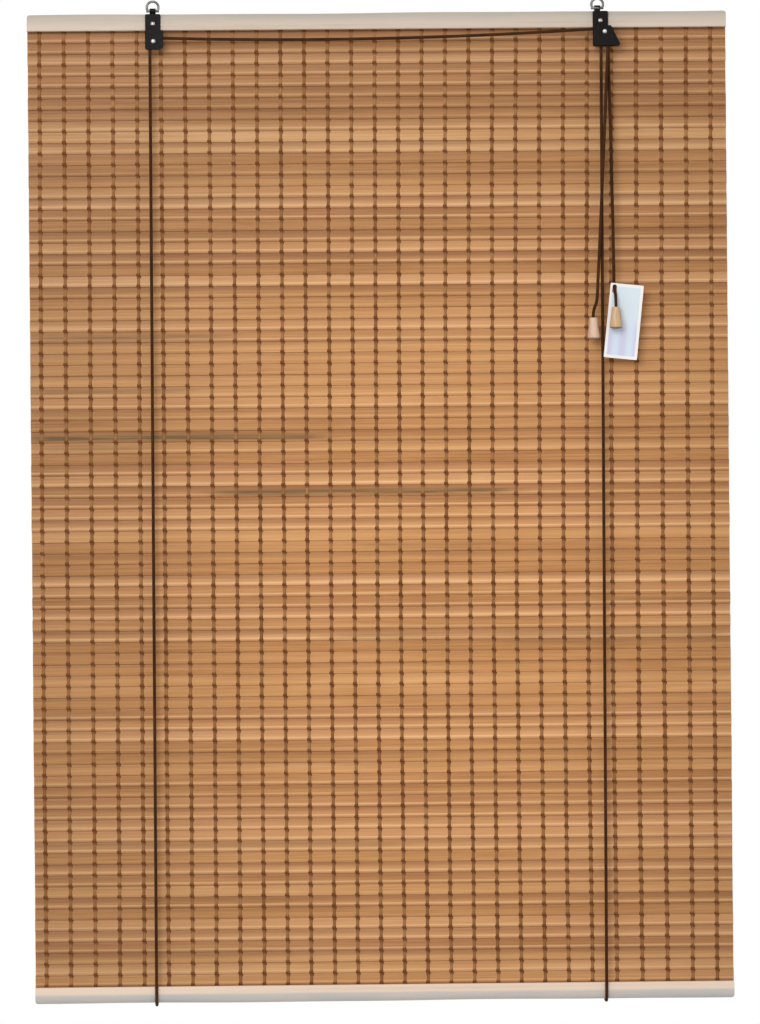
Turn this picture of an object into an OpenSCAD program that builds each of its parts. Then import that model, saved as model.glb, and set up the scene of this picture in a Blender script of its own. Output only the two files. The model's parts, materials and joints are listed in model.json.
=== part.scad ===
// Bamboo roll up blind: a slatted mat clamped between two wooden rails and hung by two rings.
// A pulley on the left, a cord lock on the right and two pull cords with wooden pulls raise it.
// Units are millimetres. X runs to the right, Y to the back, Z up.
// The origin is midway between the two hanging rings, where the wall hooks bear.

/* [Blind] */
// Width of the mat and of both rails
blind_w = 600; // [440:10:1200]
// Height from the top of the head rail to the foot of the bottom rail
drop_h = 848; // [600:1:1400]

/* [Rails] */
// Height of each rail
rail_h = 14; // [13:0.5:20]
// Thickness of each of a rail's two strips
strip_t = 5; // [4.5:0.5:8]
// Height of the part of a rail's face that curves back to its outer edge
rail_round_h = 7; // [4:0.25:9]
// How far a rail's face has curved back at its outer edge
rail_round_d = 3; // [1.5:0.25:3.5]
// Rounding of the other long edges and of the rail's corners
rail_edge_r = 0.8; // [0.3:0.1:1.2]
// Rounding of a rail's outer corners, seen from the front
rail_corner_r = 2.2; // [1:0.1:4]
// Number of brads that hold each rail together
brad_count = 8; // [4:2:12]
// Diameter of a brad's shank
brad_d = 1.2; // [0.8:0.1:1.6]

/* [Mat] */
// Height of one bamboo slat
slat_w = 8.8; // [6:0.1:12]
// Gap between two slats, before the mat is fitted to the drop
slat_gap = 0.7; // [0.4:0.05:1.5]
// Thickness of a slat along its edges
slat_edge_t = 1.2; // [0.8:0.1:2]
// Bulge of a slat's front
slat_crown = 0.8; // [0.4:0.1:1.2]
// Bulge of a slat's back
slat_belly = 0.3; // [0.1:0.05:0.6]
// Length of the mat's tail inside each rail
mat_tail = 9.5; // [8:0.5:12]
// Air between the mat and a rail's strips
clamp_air = 0.35; // [0.3:0.05:0.6]

/* [Threads] */
// Distance between two lines of warp thread
thread_pitch = 20.6; // [15:0.1:40]
// Width of a line of warp thread
thread_w = 2; // [1:0.1:4]
// Thickness of the thread on each face of the mat
thread_t = 0.4; // [0.2:0.05:0.6]
// Least distance from the mat's side to the first line
thread_margin = 8; // [6:0.5:14]

/* [Brackets] */
// Distance from a rail's end to the middle of its bracket
bracket_inset = 108; // [60:1:200]
// Thickness of the brackets' sheet steel
sheet_t = 1; // [0.8:0.1:1.4]
// Width of a bracket's plate
plate_w = 13.2; // [12:0.1:16]
// Distance of a plate's screw below the head rail's top
screw_drop = 8.3; // [7:0.1:9]
// How far a bracket reaches below the head rail
bracket_drop = 16.5; // [16:0.1:22]
// How far the left housing's front reaches past its plate
cheek_extra = 2.3; // [0.5:0.1:4]
// Height of the left axle below the head rail
left_axle_drop = 9.7; // [6:0.1:10]
// Distance of the left axle to the right of its plate's middle
left_axle_shift = 0.4; // [0:0.1:1]
// Height of the lock's axle below the head rail
lock_axle_drop = 4.4; // [3:0.1:6]
// Distance of the lock's axle to the right of its plate's middle
lock_axle_shift = 3.2; // [1:0.1:3.5]
// Slant of the lock's side wall from upright
lock_slant = 26.7; // [24:0.1:28]

/* [Wheels] */
// Width of a pulley wheel
wheel_w = 3.5; // [3.3:0.1:4.5]
// Diameter of a pulley wheel's rims
wheel_d = 8.8; // [8:0.1:9.4]
// Air on each side of a wheel
wheel_air = 0.2; // [0.1:0.05:0.4]
// Diameter of an axle rivet
axle_d = 2; // [1.5:0.1:2.2]
// Diameter of a rivet's or screw's head
head_d = 3.8; // [3.2:0.1:4.4]
// Diameter of the lock's roller
roller_d = 4; // [3.5:0.1:4.2]

/* [Hanging rings] */
// Diameter of the rings' wire
ring_wire_d = 2.1; // [1.6:0.1:2.3]
// Radius of a ring's bow, to the middle of the wire
ring_r = 5; // [5:0.1:7]
// Distance between the feet of a ring's bow, on its bar
ring_feet = 7.8; // [7.4:0.1:8.4]
// Diameter of a ring's bar
ring_bar_d = 2.4; // [2.3:0.1:2.6]
// Length of a ring's bar
ring_bar_l = 11; // [10.8:0.1:14]
// Height of a ring's pivot above the head rail
pivot_rise = 2.5; // [2.4:0.1:5]
// Shift of the lock's ring from the middle of its bracket
lock_ring_shift = -2.6; // [-2.8:0.1:2.8]

/* [Cords] */
// Diameter of the cord
cord_d = 2.7; // [1.8:0.1:2.8]
// Sag of the cord that crosses from the pulley to the lock
cross_sag = 4.7; // [1:0.1:12]

/* [Cord pulls and tag] */
// Height of a wooden cord pull
pull_h = 18.4; // [16:0.1:26]
// Diameter of a cord pull's top
pull_top_d = 7; // [6:0.1:9]
// Diameter of a cord pull's foot
pull_foot_d = 10.5; // [9:0.1:10.8]
// Width of the card tag
tag_w = 28.5; // [24:0.5:32]
// Height of the card tag
tag_h = 64; // [50:0.5:80]
// Thickness of the card tag
tag_t = 0.4; // [0.3:0.05:0.6]
// Tilt of the card tag
tag_tilt = 6; // [4:0.5:8]

/* [Hidden] */
$fn = 96;
// Air in a running fit and in a seat
run_air = 0.05;
seat_air = 0.02;

// Heights of the ring pivots and rails
ring_wire_r = ring_wire_d / 2;
ring_bar_r = ring_bar_d / 2;
ring_mid_z = sqrt(ring_r * ring_r - ring_feet * ring_feet / 4);
ring_h = ring_mid_z + ring_r;
pivot_z = -(ring_h - ring_wire_r);
head_top = pivot_z - pivot_rise;
head_foot = head_top - rail_h;
rail_round_r = (rail_round_h * rail_round_h + rail_round_d * rail_round_d) / (2 * rail_round_d);
foot_z = head_top - drop_h;
foot_top = foot_z + rail_h;

// Depths of the layers, front to back
plate_front = -sheet_t / 2;
front_y = sheet_t / 2;
front_in = front_y + strip_t;
mat_t = slat_edge_t + slat_crown + slat_belly;
mat_y = front_in + clamp_air + thread_t;
mat_back = mat_y + mat_t;
back_in = mat_back + thread_t + clamp_air;
back_y = back_in + strip_t;

// The mat's slats
mat_top = head_foot + mat_tail;
mat_foot = foot_top - mat_tail;
mat_h = mat_top - mat_foot;
slat_count = round(mat_h / (slat_w + slat_gap));
slat_pitch = mat_h / slat_count;
slit_h = slat_pitch - slat_w;
crown_r = (slat_w * slat_w / 4 + slat_crown * slat_crown) / (2 * slat_crown);
belly_r = (slat_w * slat_w / 4 + slat_belly * slat_belly) / (2 * slat_belly);
web_t = 0.8;

// The warp threads
thread_count = 1 + 2 * floor((blind_w / 2 - thread_margin) / thread_pitch);
thread_span = (thread_count - 1) * thread_pitch;
slit_l = thread_span - thread_w - 1;

// The brads stand between two threads, on the middle of the tail slats
brad_head_d = 2 * brad_d;
brad_head_t = 0.5;
brad_tip_y = front_y + strip_t / 2;
brad_room = 0.7;
head_brad_z = mat_top - slat_pitch / 2;
foot_brad_z = mat_foot + slat_pitch / 2;

// The brackets, with places measured from the middle of each plate at the rail's top
bracket_x = blind_w / 2 - bracket_inset;
screw_z = -screw_drop;
housing_foot = -rail_h - bracket_drop;
wheel_r = wheel_d / 2;
axle_r = axle_d / 2;
cord_r = cord_d / 2;
groove_r = cord_r + 0.1;
turn_r = wheel_r - groove_r;
left_gap = wheel_w + 2 * wheel_air;
lock_gap = 2 * wheel_w + 3 * wheel_air;
left_face = plate_front - left_gap - sheet_t;
lock_face = plate_front - lock_gap - sheet_t;
rear_wheel_y = plate_front - wheel_air - wheel_w / 2;
front_wheel_y = rear_wheel_y - wheel_air - wheel_w;
left_axle_x = -bracket_x + left_axle_shift;
left_axle_z = head_foot - left_axle_drop;
lock_axle_x = bracket_x + lock_axle_shift;
lock_axle_z = head_foot - lock_axle_drop;
head_r = head_d / 2;
head_rise = 1;
bend_r = 1.2;
knuckle_air = 0.25;
knuckle_w = ring_feet - ring_wire_d - 2 * knuckle_air;
knuckle_r = ring_bar_r + run_air + sheet_t;
tab_root = 2;
fold_drop = 0.5;
screw_floor = 0.4;
tail_t = 0.4;
tail_in = 0.3;

// The lock's slanting side, as a line through one corner of its outline
fin_top = -rail_h + 0.8;
fin_x = 9;
fin_z = -rail_h - 0.2;
fin_low = housing_foot + 1.6;
fin_low_x = fin_x + (fin_z - fin_low) * tan(lock_slant);
lip_z = housing_foot + sheet_t;
roller_r = roller_d / 2;
function wall_x(z) = fin_x - sheet_t / cos(lock_slant) + (fin_z - z) * tan(lock_slant);
roller_z = lip_z + roller_r + run_air;
roller_x = wall_x(roller_z) - (roller_r + run_air) / cos(lock_slant);
lip_x = roller_x - 0.6;

// The cord pulls and the tag
left_pull_at = [bracket_x - 8.5, front_wheel_y - 0.2, head_top - 263.6];
right_pull_at = [bracket_x + 10.5, rear_wheel_y - 8.3, head_top - 254.7];
pull_bore_r = cord_r + 0.15;
knot_room_r = 2.7;
knot_room_h = 4.2;
knot_r = 2;
tag_at = [bracket_x + 17.5, rear_wheel_y - 2.55, head_top - 267];
slot_r = cord_r + 0.6;
slot_l = 3.6;
slot_x = -tag_w / 2 + 3.75;
slot_z = tag_h / 2 - 4.9;

// The cords' routes
cord_sides = 8;
cord_air = 0.4;
front_cord_y = front_y - cord_r - cord_air;
back_cord_y = back_y + cord_r + cord_air;
left_foot_x = -bracket_x - 4;
right_foot_x = bracket_x - 2;
loop_in = rail_round_d + 1;
loop_r = loop_in + cord_r + cord_air;
loop_z = foot_z + loop_in;
loop_end_z = loop_z + 1;
anchor_y = back_in + strip_t / 2;
anchor_depth = 7;
anchor_r = cord_r + 0.3;
function turn(x, y, z, from, to, steps) = [for (i = [0:steps])
    let (a = from + (to - from) * i / steps) [x + turn_r * cos(a), y, z + turn_r * sin(a)]];
function mix(a, b, t) = a + (b - a) * t;
cross_from = [left_axle_x, rear_wheel_y, left_axle_z + turn_r];
cross_to = [lock_axle_x, front_wheel_y, lock_axle_z + turn_r];
function cross_at(t) = mix(cross_from, cross_to, t) - [0, 0, 4 * cross_sag * t * (1 - t)];
cross_steps = 16;
cross_route = concat(turn(left_axle_x, rear_wheel_y, left_axle_z, 180, 105, 5),
    [for (i = [1:cross_steps - 1]) cross_at(i / cross_steps)], [cross_to]);
left_pull_drops = [[0, 0.2, -8], [-0.4, 0.2, -16], [-1.2, 0.15, -32], [-2.3, 0.1, -54],
    [-3.6, 0.1, -80], [-5, 0.05, -108], [-6.4, 0, -136], [-7.8, 0, -164], [-9.2, -0.05, -190],
    [-10.5, -0.1, -212], [-11.6, -0.15, -230]];
left_pull_route = concat(turn(lock_axle_x, front_wheel_y, lock_axle_z, 90, 0, 6),
    [for (p = left_pull_drops) [lock_axle_x + turn_r, front_wheel_y, lock_axle_z] + p],
    [left_pull_at + [0, 0, 4], left_pull_at - [0, 0, pull_h - knot_room_h - 0.1]]);
right_pull_drops = [[0, 0, -8], [0.1, 0, -16], [0.5, -0.1, -34], [1, -0.2, -58], [1.5, -0.35, -84],
    [2, -0.5, -112], [2.5, -0.6, -140], [2.9, -0.7, -166], [3.2, -0.8, -190], [3.4, -0.85, -206]];
tag_pass = [[-1, 7.45, 19], [-0.8, 7.4, 18.2], [-0.65, 6.7, 16.8], [-0.5, 5.75, 15.2], [-0.35, 4.7, 13.5],
    [-0.2, 3.8, 12], [0, 1.7, 8], [0, 0.5, 5]];
right_pull_route = concat(turn(lock_axle_x, rear_wheel_y, lock_axle_z, 180, 0, 12),
    [for (p = right_pull_drops) [lock_axle_x + turn_r, rear_wheel_y, lock_axle_z] + p],
    [for (p = tag_pass) right_pull_at + p],
    [right_pull_at + [0, 0, 2], right_pull_at - [0, 0, pull_h - knot_room_h - 0.1]]);
loop_steps = 6;
function loop_route(x) = concat(
    [[x, front_cord_y, loop_end_z]],
    [for (i = [0:loop_steps]) let (a = 180 + 90 * i / loop_steps)
        [x, front_y + loop_in + loop_r * cos(a), loop_z + loop_r * sin(a)]],
    [for (i = [0:loop_steps]) let (a = 270 + 90 * i / loop_steps)
        [x, back_y - loop_in + loop_r * cos(a), loop_z + loop_r * sin(a)]],
    [[x, back_cord_y, loop_end_z]]);

// Extrudes a profile drawn in Y and Z along X, about the middle
module along_x(l) {
    translate([-l / 2, 0, 0]) rotate([90, 0, 90]) linear_extrude(l) children();
}

// Extrudes an outline drawn in X and Z along Y, from y
module along_y(y, l) {
    translate([0, y + l, 0]) rotate([90, 0, 0]) linear_extrude(l) children();
}

// A round rod along Y, from y
module rod_y(x, y, z, l, r) {
    translate([x, y, z]) rotate([-90, 0, 0]) cylinder(h = l, r = r);
}

// What rounding takes off a corner at the origin
module corner_cut(r) {
    difference() {
        translate([-1, -1]) square(r + 1);
        translate([r, r]) circle(r);
    }
}

// A plate's outline from its lower left corner, with its corners rounded
module rounded_plate(w, h, r) {
    difference() {
        square([w, h]);
        corner_cut(r);
        translate([w, 0]) mirror([1, 0]) corner_cut(r);
        translate([0, h]) mirror([0, 1]) corner_cut(r);
        translate([w, h]) mirror([1, 0]) mirror([0, 1]) corner_cut(r);
    }
}

// Cross-section of a strip, with its face at 0 and its outer edge at the top
module strip_profile() {
    difference() {
        square([strip_t, rail_h]);
        translate([0, rail_h - rail_round_h]) difference() {
            translate([-1, 0]) square([rail_round_d + 1, rail_round_h + 1]);
            translate([rail_round_r, 0]) circle(rail_round_r);
        }
        corner_cut(rail_edge_r);
        translate([strip_t, rail_h]) mirror([1, 0]) mirror([0, 1]) corner_cut(rail_edge_r);
        translate([strip_t, 0]) mirror([1, 0]) corner_cut(rail_edge_r);
    }
}

// A rail's outline as seen from the front, with its outer edge at the top
module rail_outline() {
    translate([-blind_w / 2, 0]) difference() {
        square([blind_w, rail_h]);
        corner_cut(rail_edge_r);
        translate([blind_w, 0]) mirror([1, 0]) corner_cut(rail_edge_r);
        translate([0, rail_h]) mirror([0, 1]) corner_cut(rail_corner_r);
        translate([blind_w, rail_h]) mirror([1, 0]) mirror([0, 1]) corner_cut(rail_corner_r);
    }
}

// A strip that faces the front, standing on z = 0
module strip() {
    intersection() {
        along_x(blind_w) strip_profile();
        along_y(-1, strip_t + 2) rail_outline();
    }
}

// Places of the brads along X, each between two threads
function brad_x(i) = (floor((i - (brad_count - 1) / 2) * thread_span / thread_pitch / brad_count) + 0.5)
    * thread_pitch;

module brad_holes(z, r) {
    for (i = [0:brad_count - 1]) rod_y(brad_x(i), brad_tip_y - 0.1, z, back_y - brad_tip_y + 1, r);
}

module brad_row(z) {
    for (i = [0:brad_count - 1]) {
        rod_y(brad_x(i), brad_tip_y, z, back_y - brad_tip_y - brad_head_t, brad_d / 2);
        rod_y(brad_x(i), back_y - brad_head_t, z, brad_head_t, brad_head_d / 2);
    }
}

module brad_seats(z) {
    brad_holes(z, brad_d / 2 + seat_air);
    for (i = [0:brad_count - 1])
        rod_y(brad_x(i), back_y - brad_head_t - seat_air, z, 1, brad_head_d / 2 + seat_air);
}

module head_front_strip() {
    color("#d3c2ad") difference() {
        translate([0, front_y, head_foot]) strip();
        brad_seats(head_brad_z);
        for (side = [-1, 1])
            rod_y(side * bracket_x, front_y - 1, head_top + screw_z, strip_t - screw_floor + 1, axle_r + seat_air);
    }
}

module head_back_strip() {
    color("#cdbba5") difference() {
        translate([0, back_y, head_foot]) mirror([0, 1, 0]) strip();
        brad_seats(head_brad_z);
        for (x = [left_foot_x, right_foot_x])
            translate([x, anchor_y, head_foot - 1]) cylinder(h = anchor_depth + 1, r = anchor_r);
    }
}

module head_brads() {
    color("#b8b8b4") brad_row(head_brad_z);
}

module foot_front_strip() {
    color("#e0cdb8") difference() {
        translate([0, front_y, foot_top]) mirror([0, 0, 1]) strip();
        brad_seats(foot_brad_z);
    }
}

module foot_back_strip() {
    color("#d6c4ae") difference() {
        translate([0, back_y, foot_top]) mirror([0, 1, 0]) mirror([0, 0, 1]) strip();
        brad_seats(foot_brad_z);
    }
}

module foot_brads() {
    color("#b8b8b4") brad_row(foot_brad_z);
}

// Cross-section of one slat, with its crest at 0 and its middle at z = 0
module slat_profile() {
    intersection() {
        translate([0, -slat_w / 2]) square([mat_t, slat_w]);
        translate([crown_r, 0]) circle(crown_r);
        translate([mat_t - belly_r, 0]) circle(belly_r);
    }
}

module bamboo_mat() {
    color("#b4825a") difference() {
        along_x(blind_w) {
            for (i = [0:slat_count - 1]) translate([mat_y, mat_top - (i + 0.5) * slat_pitch]) slat_profile();
            translate([mat_y + slat_crown + (slat_edge_t - web_t) / 2, mat_foot + slat_pitch / 2])
                square([web_t, mat_h - slat_pitch]);
        }
        for (i = [1:slat_count - 1])
            translate([-slit_l / 2, mat_y - 1, mat_top - i * slat_pitch - slit_h / 2])
                cube([slit_l, mat_t + 2, slit_h]);
        brad_holes(head_brad_z, brad_d / 2 + brad_room);
        brad_holes(foot_brad_z, brad_d / 2 + brad_room);
    }
}

module warp_threads() {
    color("#5f3a1c")
        for (i = [0:thread_count - 1], y = [mat_y - thread_t - seat_air, mat_back + seat_air])
            translate([i * thread_pitch - thread_span / 2 - thread_w / 2, y, mat_foot])
                cube([thread_w, thread_t, mat_h]);
}

// A bracket's plate on the rail, with the knuckle that holds the ring
module bracket_plate(ring_shift) {
    along_y(plate_front, sheet_t)
        translate([-plate_w / 2, housing_foot]) rounded_plate(plate_w, -housing_foot, bend_r);
    along_y(plate_front, sheet_t)
        translate([ring_shift - knuckle_w / 2, -tab_root]) square([knuckle_w, pivot_rise + tab_root]);
    translate([ring_shift, 0, pivot_rise]) along_x(knuckle_w) circle(knuckle_r);
}

module bracket_bores(ring_shift) {
    translate([ring_shift, 0, pivot_rise]) along_x(knuckle_w + 2) circle(ring_bar_r + run_air);
    rod_y(0, plate_front - 1, screw_z, sheet_t + 2, axle_r + seat_air);
}

// Cross-section of the left housing, folded from the plate's left side
module left_channel() {
    difference() {
        translate([-plate_w / 2, left_face]) difference() {
            square([plate_w + cheek_extra, left_gap + 2 * sheet_t]);
            corner_cut(bend_r);
            translate([0, left_gap + 2 * sheet_t]) mirror([0, 1]) corner_cut(bend_r);
        }
        translate([-plate_w / 2 + sheet_t, left_face + sheet_t]) square([plate_w + cheek_extra, left_gap]);
        translate([plate_w / 2 - bend_r, plate_front]) square([cheek_extra + 2 * bend_r, sheet_t + 1]);
    }
}

module left_bracket() {
    color("#2a2326") translate([-bracket_x, 0, head_top]) difference() {
        union() {
            bracket_plate(0);
            intersection() {
                translate([0, 0, housing_foot]) linear_extrude(-rail_h - fold_drop - housing_foot) left_channel();
                along_y(left_face - 1, left_gap + 4) translate([-plate_w / 2, housing_foot])
                    rounded_plate(plate_w + cheek_extra, bracket_drop + bend_r, 2 * bend_r);
            }
        }
        bracket_bores(0);
        rod_y(left_axle_shift, left_face - 1, -rail_h - left_axle_drop, left_gap + 5, axle_r + seat_air);
    }
}

// Outline of the lock's two cheeks
module fin_outline() {
    polygon([[-plate_w / 2, fin_top], [fin_x - 0.8, fin_top], [fin_x, fin_z], [fin_low_x, fin_low],
        [fin_low_x, fin_low - 0.7], [fin_low_x - 0.9, housing_foot], [-plate_w / 2 + 1.5, housing_foot],
        [-plate_w / 2, housing_foot + 1.5]]);
}

// The room between the cheeks: open above, below and on the left, with a lip under the roller
module lock_room() {
    polygon([[-2 * plate_w, 5], [wall_x(5), 5], [wall_x(lip_z), lip_z], [lip_x, lip_z],
        [lip_x, 2 * housing_foot], [-2 * plate_w, 2 * housing_foot]]);
}

module lock_bracket() {
    color("#2a2326") translate([bracket_x, 0, head_top]) difference() {
        union() {
            bracket_plate(lock_ring_shift);
            along_y(lock_face, lock_gap + 2 * sheet_t) fin_outline();
        }
        along_y(lock_face + sheet_t, lock_gap) lock_room();
        bracket_bores(lock_ring_shift);
        rod_y(lock_axle_shift, lock_face - 1, -rail_h - lock_axle_drop, lock_gap + 5, axle_r + seat_air);
    }
}

// A fastener along Y with a domed head on a face that looks to the front
module domed_pin(l) {
    rotate([-90, 0, 0]) rotate_extrude() {
        square([axle_r, l]);
        intersection() {
            translate([0, -head_rise]) square([head_r, head_rise]);
            translate([0, (head_r * head_r - head_rise * head_rise) / (2 * head_rise)])
                circle((head_r * head_r + head_rise * head_rise) / (2 * head_rise));
        }
    }
}

module bracket_screws() {
    color("#c9c9c6") for (side = [-1, 1])
        translate([side * bracket_x, plate_front, head_top + screw_z]) domed_pin(sheet_t + strip_t - 1);
}

// A rivet through both cheeks, with a flat head at the back
module axle(face) {
    translate([0, face, 0]) domed_pin(front_y - face);
    rod_y(0, front_y, 0, tail_t, head_r - tail_in);
}

module left_axle() {
    color("#c9c9c6") translate([left_axle_x, 0, left_axle_z]) axle(left_face);
}

module lock_axle() {
    color("#c9c9c6") translate([lock_axle_x, 0, lock_axle_z]) axle(lock_face);
}

// A grooved pulley wheel about Y
module wheel() {
    rotate([90, 0, 0]) rotate_extrude() difference() {
        translate([axle_r + run_air, -wheel_w / 2]) square([wheel_r - axle_r - run_air, wheel_w]);
        translate([turn_r, 0]) circle(groove_r);
        translate([turn_r, -groove_r]) square([wheel_r, 2 * groove_r]);
    }
}

module left_wheel() {
    color("#4a4542") translate([left_axle_x, rear_wheel_y, left_axle_z]) wheel();
}

module lock_front_wheel() {
    color("#4a4542") translate([lock_axle_x, front_wheel_y, lock_axle_z]) wheel();
}

module lock_rear_wheel() {
    color("#4a4542") translate([lock_axle_x, rear_wheel_y, lock_axle_z]) wheel();
}

// The fluted roller that jams the cords against the wheels
module lock_roller() {
    flutes = 16;
    color("#8f8a80") translate([bracket_x + roller_x, 0, head_top + roller_z])
        along_y(lock_face + sheet_t + wheel_air, lock_gap - 2 * wheel_air)
            polygon([for (i = [0:2 * flutes - 1]) let (r = i % 2 == 0 ? roller_r : roller_r - 0.25)
                r * [cos(180 * i / flutes), sin(180 * i / flutes)]]);
}

// A wire bow on a bar, standing up from its pivot
module ring() {
    foot_turn = asin(ring_mid_z / ring_r);
    along_x(ring_bar_l) circle(ring_bar_r);
    translate([0, 0, ring_mid_z]) rotate([90, 0, 0]) rotate([0, 0, -foot_turn])
        rotate_extrude(angle = 180 + 2 * foot_turn) translate([ring_r, 0]) circle(ring_wire_r);
}

module left_ring() {
    color("#9a9a98") translate([-bracket_x, 0, pivot_z]) ring();
}

module right_ring() {
    color("#9a9a98") translate([bracket_x + lock_ring_shift, 0, pivot_z]) ring();
}

// A cord along a route, as rings of points across it; side never runs along the route
module cord(route, side) {
    n = len(route);
    function way(i) = route[min(i + 1, n - 1)] - route[max(i - 1, 0)];
    points = [for (i = [0:n - 1]) let (t = way(i) / norm(way(i)), c = cross(side, t), a = c / norm(c),
        b = cross(t, a)) for (k = [0:cord_sides - 1]) let (turn = 360 * (k + 0.5) / cord_sides)
        route[i] + cord_r * (cos(turn) * a + sin(turn) * b)];
    ends = [[for (k = [0:cord_sides - 1]) k],
        [for (k = [cord_sides - 1:-1:0]) (n - 1) * cord_sides + k]];
    walls = [for (i = [0:n - 2], k = [0:cord_sides - 1])
        let (p = i * cord_sides + k, q = i * cord_sides + (k + 1) % cord_sides)
        each [[p, p + cord_sides, q], [q, p + cord_sides, q + cord_sides]]];
    color("#4e3016") polyhedron(points, concat(ends, walls), convexity = 10);
}

// The straight run from a wheel to the loop under the bottom rail
function front_route(x, z, foot_x) = [[x - turn_r, rear_wheel_y, z],
    mix([x - turn_r, rear_wheel_y, z], [foot_x, front_cord_y, loop_end_z], 0.5),
    [foot_x, front_cord_y, loop_end_z]];

// The straight run behind the mat, up into the head rail's back strip
function back_route(x) = [[x, back_cord_y, loop_end_z],
    [x, mix(back_cord_y, anchor_y, 0.5), (foot_z + head_foot) / 2],
    [x, anchor_y, head_foot - 1], [x, anchor_y, head_foot + anchor_depth - 0.2]];

module left_front_cord() {
    cord(front_route(left_axle_x, left_axle_z, left_foot_x), [0, 1, 0]);
}

module left_back_cord() {
    cord(back_route(left_foot_x), [1, 0, 0]);
}

module left_under_cord() {
    cord(loop_route(left_foot_x), [1, 0, 0]);
}

module right_front_cord() {
    cord(front_route(lock_axle_x, lock_axle_z, right_foot_x), [0, 1, 0]);
}

module right_back_cord() {
    cord(back_route(right_foot_x), [1, 0, 0]);
}

module right_under_cord() {
    cord(loop_route(right_foot_x), [1, 0, 0]);
}

module cross_cord() {
    cord(cross_route, [0, 1, 0]);
}

module left_pull_cord() {
    cord(left_pull_route, [0, 1, 0]);
}

module right_pull_cord() {
    cord(right_pull_route, [0.15, 1, 0.35]);
}

// A turned wooden pull, hung from its top, with room for the cord's knot in its foot
module cord_pull() {
    color("#d2b39c") rotate_extrude() difference() {
        union() {
            polygon([[0, 0], [pull_top_d / 2 - 0.7, 0], [pull_top_d / 2, -0.7], [pull_top_d / 2 + 0.1, -2.2],
                [mix(pull_top_d, pull_foot_d, 0.45) / 2, -pull_h * 0.45],
                [mix(pull_top_d, pull_foot_d, 0.85) / 2, -pull_h * 0.72],
                [pull_foot_d / 2, -pull_h * 0.88], [pull_foot_d / 2, -pull_h + 1],
                [pull_foot_d / 2 - 1, -pull_h], [0, -pull_h]]);
        }
        translate([-1, -pull_h - 1]) square([pull_bore_r + 1, pull_h + 2]);
        translate([-1, -pull_h - 1]) square([knot_room_r + 1, knot_room_h + 1]);
    }
}

module left_cord_pull() {
    translate(left_pull_at) cord_pull();
}

module right_cord_pull() {
    translate(right_pull_at) cord_pull();
}

module pull_knot() {
    color("#4e3016") translate([0, 0, -pull_h + knot_room_h - knot_r]) sphere(knot_r);
}

module left_pull_knot() {
    translate(left_pull_at) pull_knot();
}

module right_pull_knot() {
    translate(right_pull_at) pull_knot();
}

module hang_tag() {
    color("#dfe3ea") translate(tag_at) rotate([0, tag_tilt, 0]) along_y(-tag_t / 2, tag_t) difference() {
        translate([-tag_w / 2, -tag_h / 2]) rounded_plate(tag_w, tag_h, 0.8);
        for (side = [-1, 1]) translate([slot_x, slot_z + side * slot_l / 2]) circle(slot_r);
        translate([slot_x - slot_r, slot_z - slot_l / 2]) square([2 * slot_r, slot_l]);
    }
}

head_front_strip();
head_back_strip();
head_brads();
foot_front_strip();
foot_back_strip();
foot_brads();
bamboo_mat();
warp_threads();
left_bracket();
lock_bracket();
bracket_screws();
left_ring();
right_ring();
left_wheel();
lock_front_wheel();
lock_rear_wheel();
left_axle();
lock_axle();
lock_roller();
left_front_cord();
left_back_cord();
left_under_cord();
right_front_cord();
right_back_cord();
right_under_cord();
cross_cord();
left_pull_cord();
right_pull_cord();
left_cord_pull();
right_cord_pull();
left_pull_knot();
right_pull_knot();
hang_tag();
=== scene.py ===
# %% [markdown]
# # A bamboo roll up blind
# The blind is a mat of split bamboo slats, tied by lines of dark twine and clamped between two pale
# wooden rails. A pulley, a cord lock and two cords with turned pulls raise it. The solids of the part
# are already built; this lesson dresses them, piece by piece, in the same frame and in metres.

# %% The frame
import json
import math

import bmesh
import bpy
import numpy as np
from mathutils import Matrix, Vector

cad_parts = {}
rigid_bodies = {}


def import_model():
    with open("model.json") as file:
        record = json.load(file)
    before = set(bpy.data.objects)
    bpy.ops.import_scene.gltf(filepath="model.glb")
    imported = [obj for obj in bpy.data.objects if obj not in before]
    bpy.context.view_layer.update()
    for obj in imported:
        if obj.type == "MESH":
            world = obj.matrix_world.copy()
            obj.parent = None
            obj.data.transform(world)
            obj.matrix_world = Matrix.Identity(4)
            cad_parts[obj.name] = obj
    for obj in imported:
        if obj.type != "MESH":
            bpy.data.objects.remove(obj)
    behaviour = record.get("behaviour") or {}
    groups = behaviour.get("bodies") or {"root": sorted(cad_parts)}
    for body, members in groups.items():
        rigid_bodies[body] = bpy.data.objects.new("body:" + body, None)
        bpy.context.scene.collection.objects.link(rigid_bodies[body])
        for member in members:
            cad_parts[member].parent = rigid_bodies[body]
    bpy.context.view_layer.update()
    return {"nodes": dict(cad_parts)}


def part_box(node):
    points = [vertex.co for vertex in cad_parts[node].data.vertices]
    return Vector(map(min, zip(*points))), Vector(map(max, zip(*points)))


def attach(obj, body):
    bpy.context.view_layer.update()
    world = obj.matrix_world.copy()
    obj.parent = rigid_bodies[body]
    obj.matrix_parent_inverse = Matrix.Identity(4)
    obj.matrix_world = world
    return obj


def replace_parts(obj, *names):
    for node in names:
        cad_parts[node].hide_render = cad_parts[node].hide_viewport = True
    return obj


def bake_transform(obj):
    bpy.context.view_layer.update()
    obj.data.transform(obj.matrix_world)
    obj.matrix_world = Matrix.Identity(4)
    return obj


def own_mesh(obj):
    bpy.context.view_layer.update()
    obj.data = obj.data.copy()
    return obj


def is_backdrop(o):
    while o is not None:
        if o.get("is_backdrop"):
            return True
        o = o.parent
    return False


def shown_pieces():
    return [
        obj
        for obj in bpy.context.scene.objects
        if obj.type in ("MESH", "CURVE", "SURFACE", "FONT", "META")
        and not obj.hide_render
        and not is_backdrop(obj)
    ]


MM = 0.001


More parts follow.
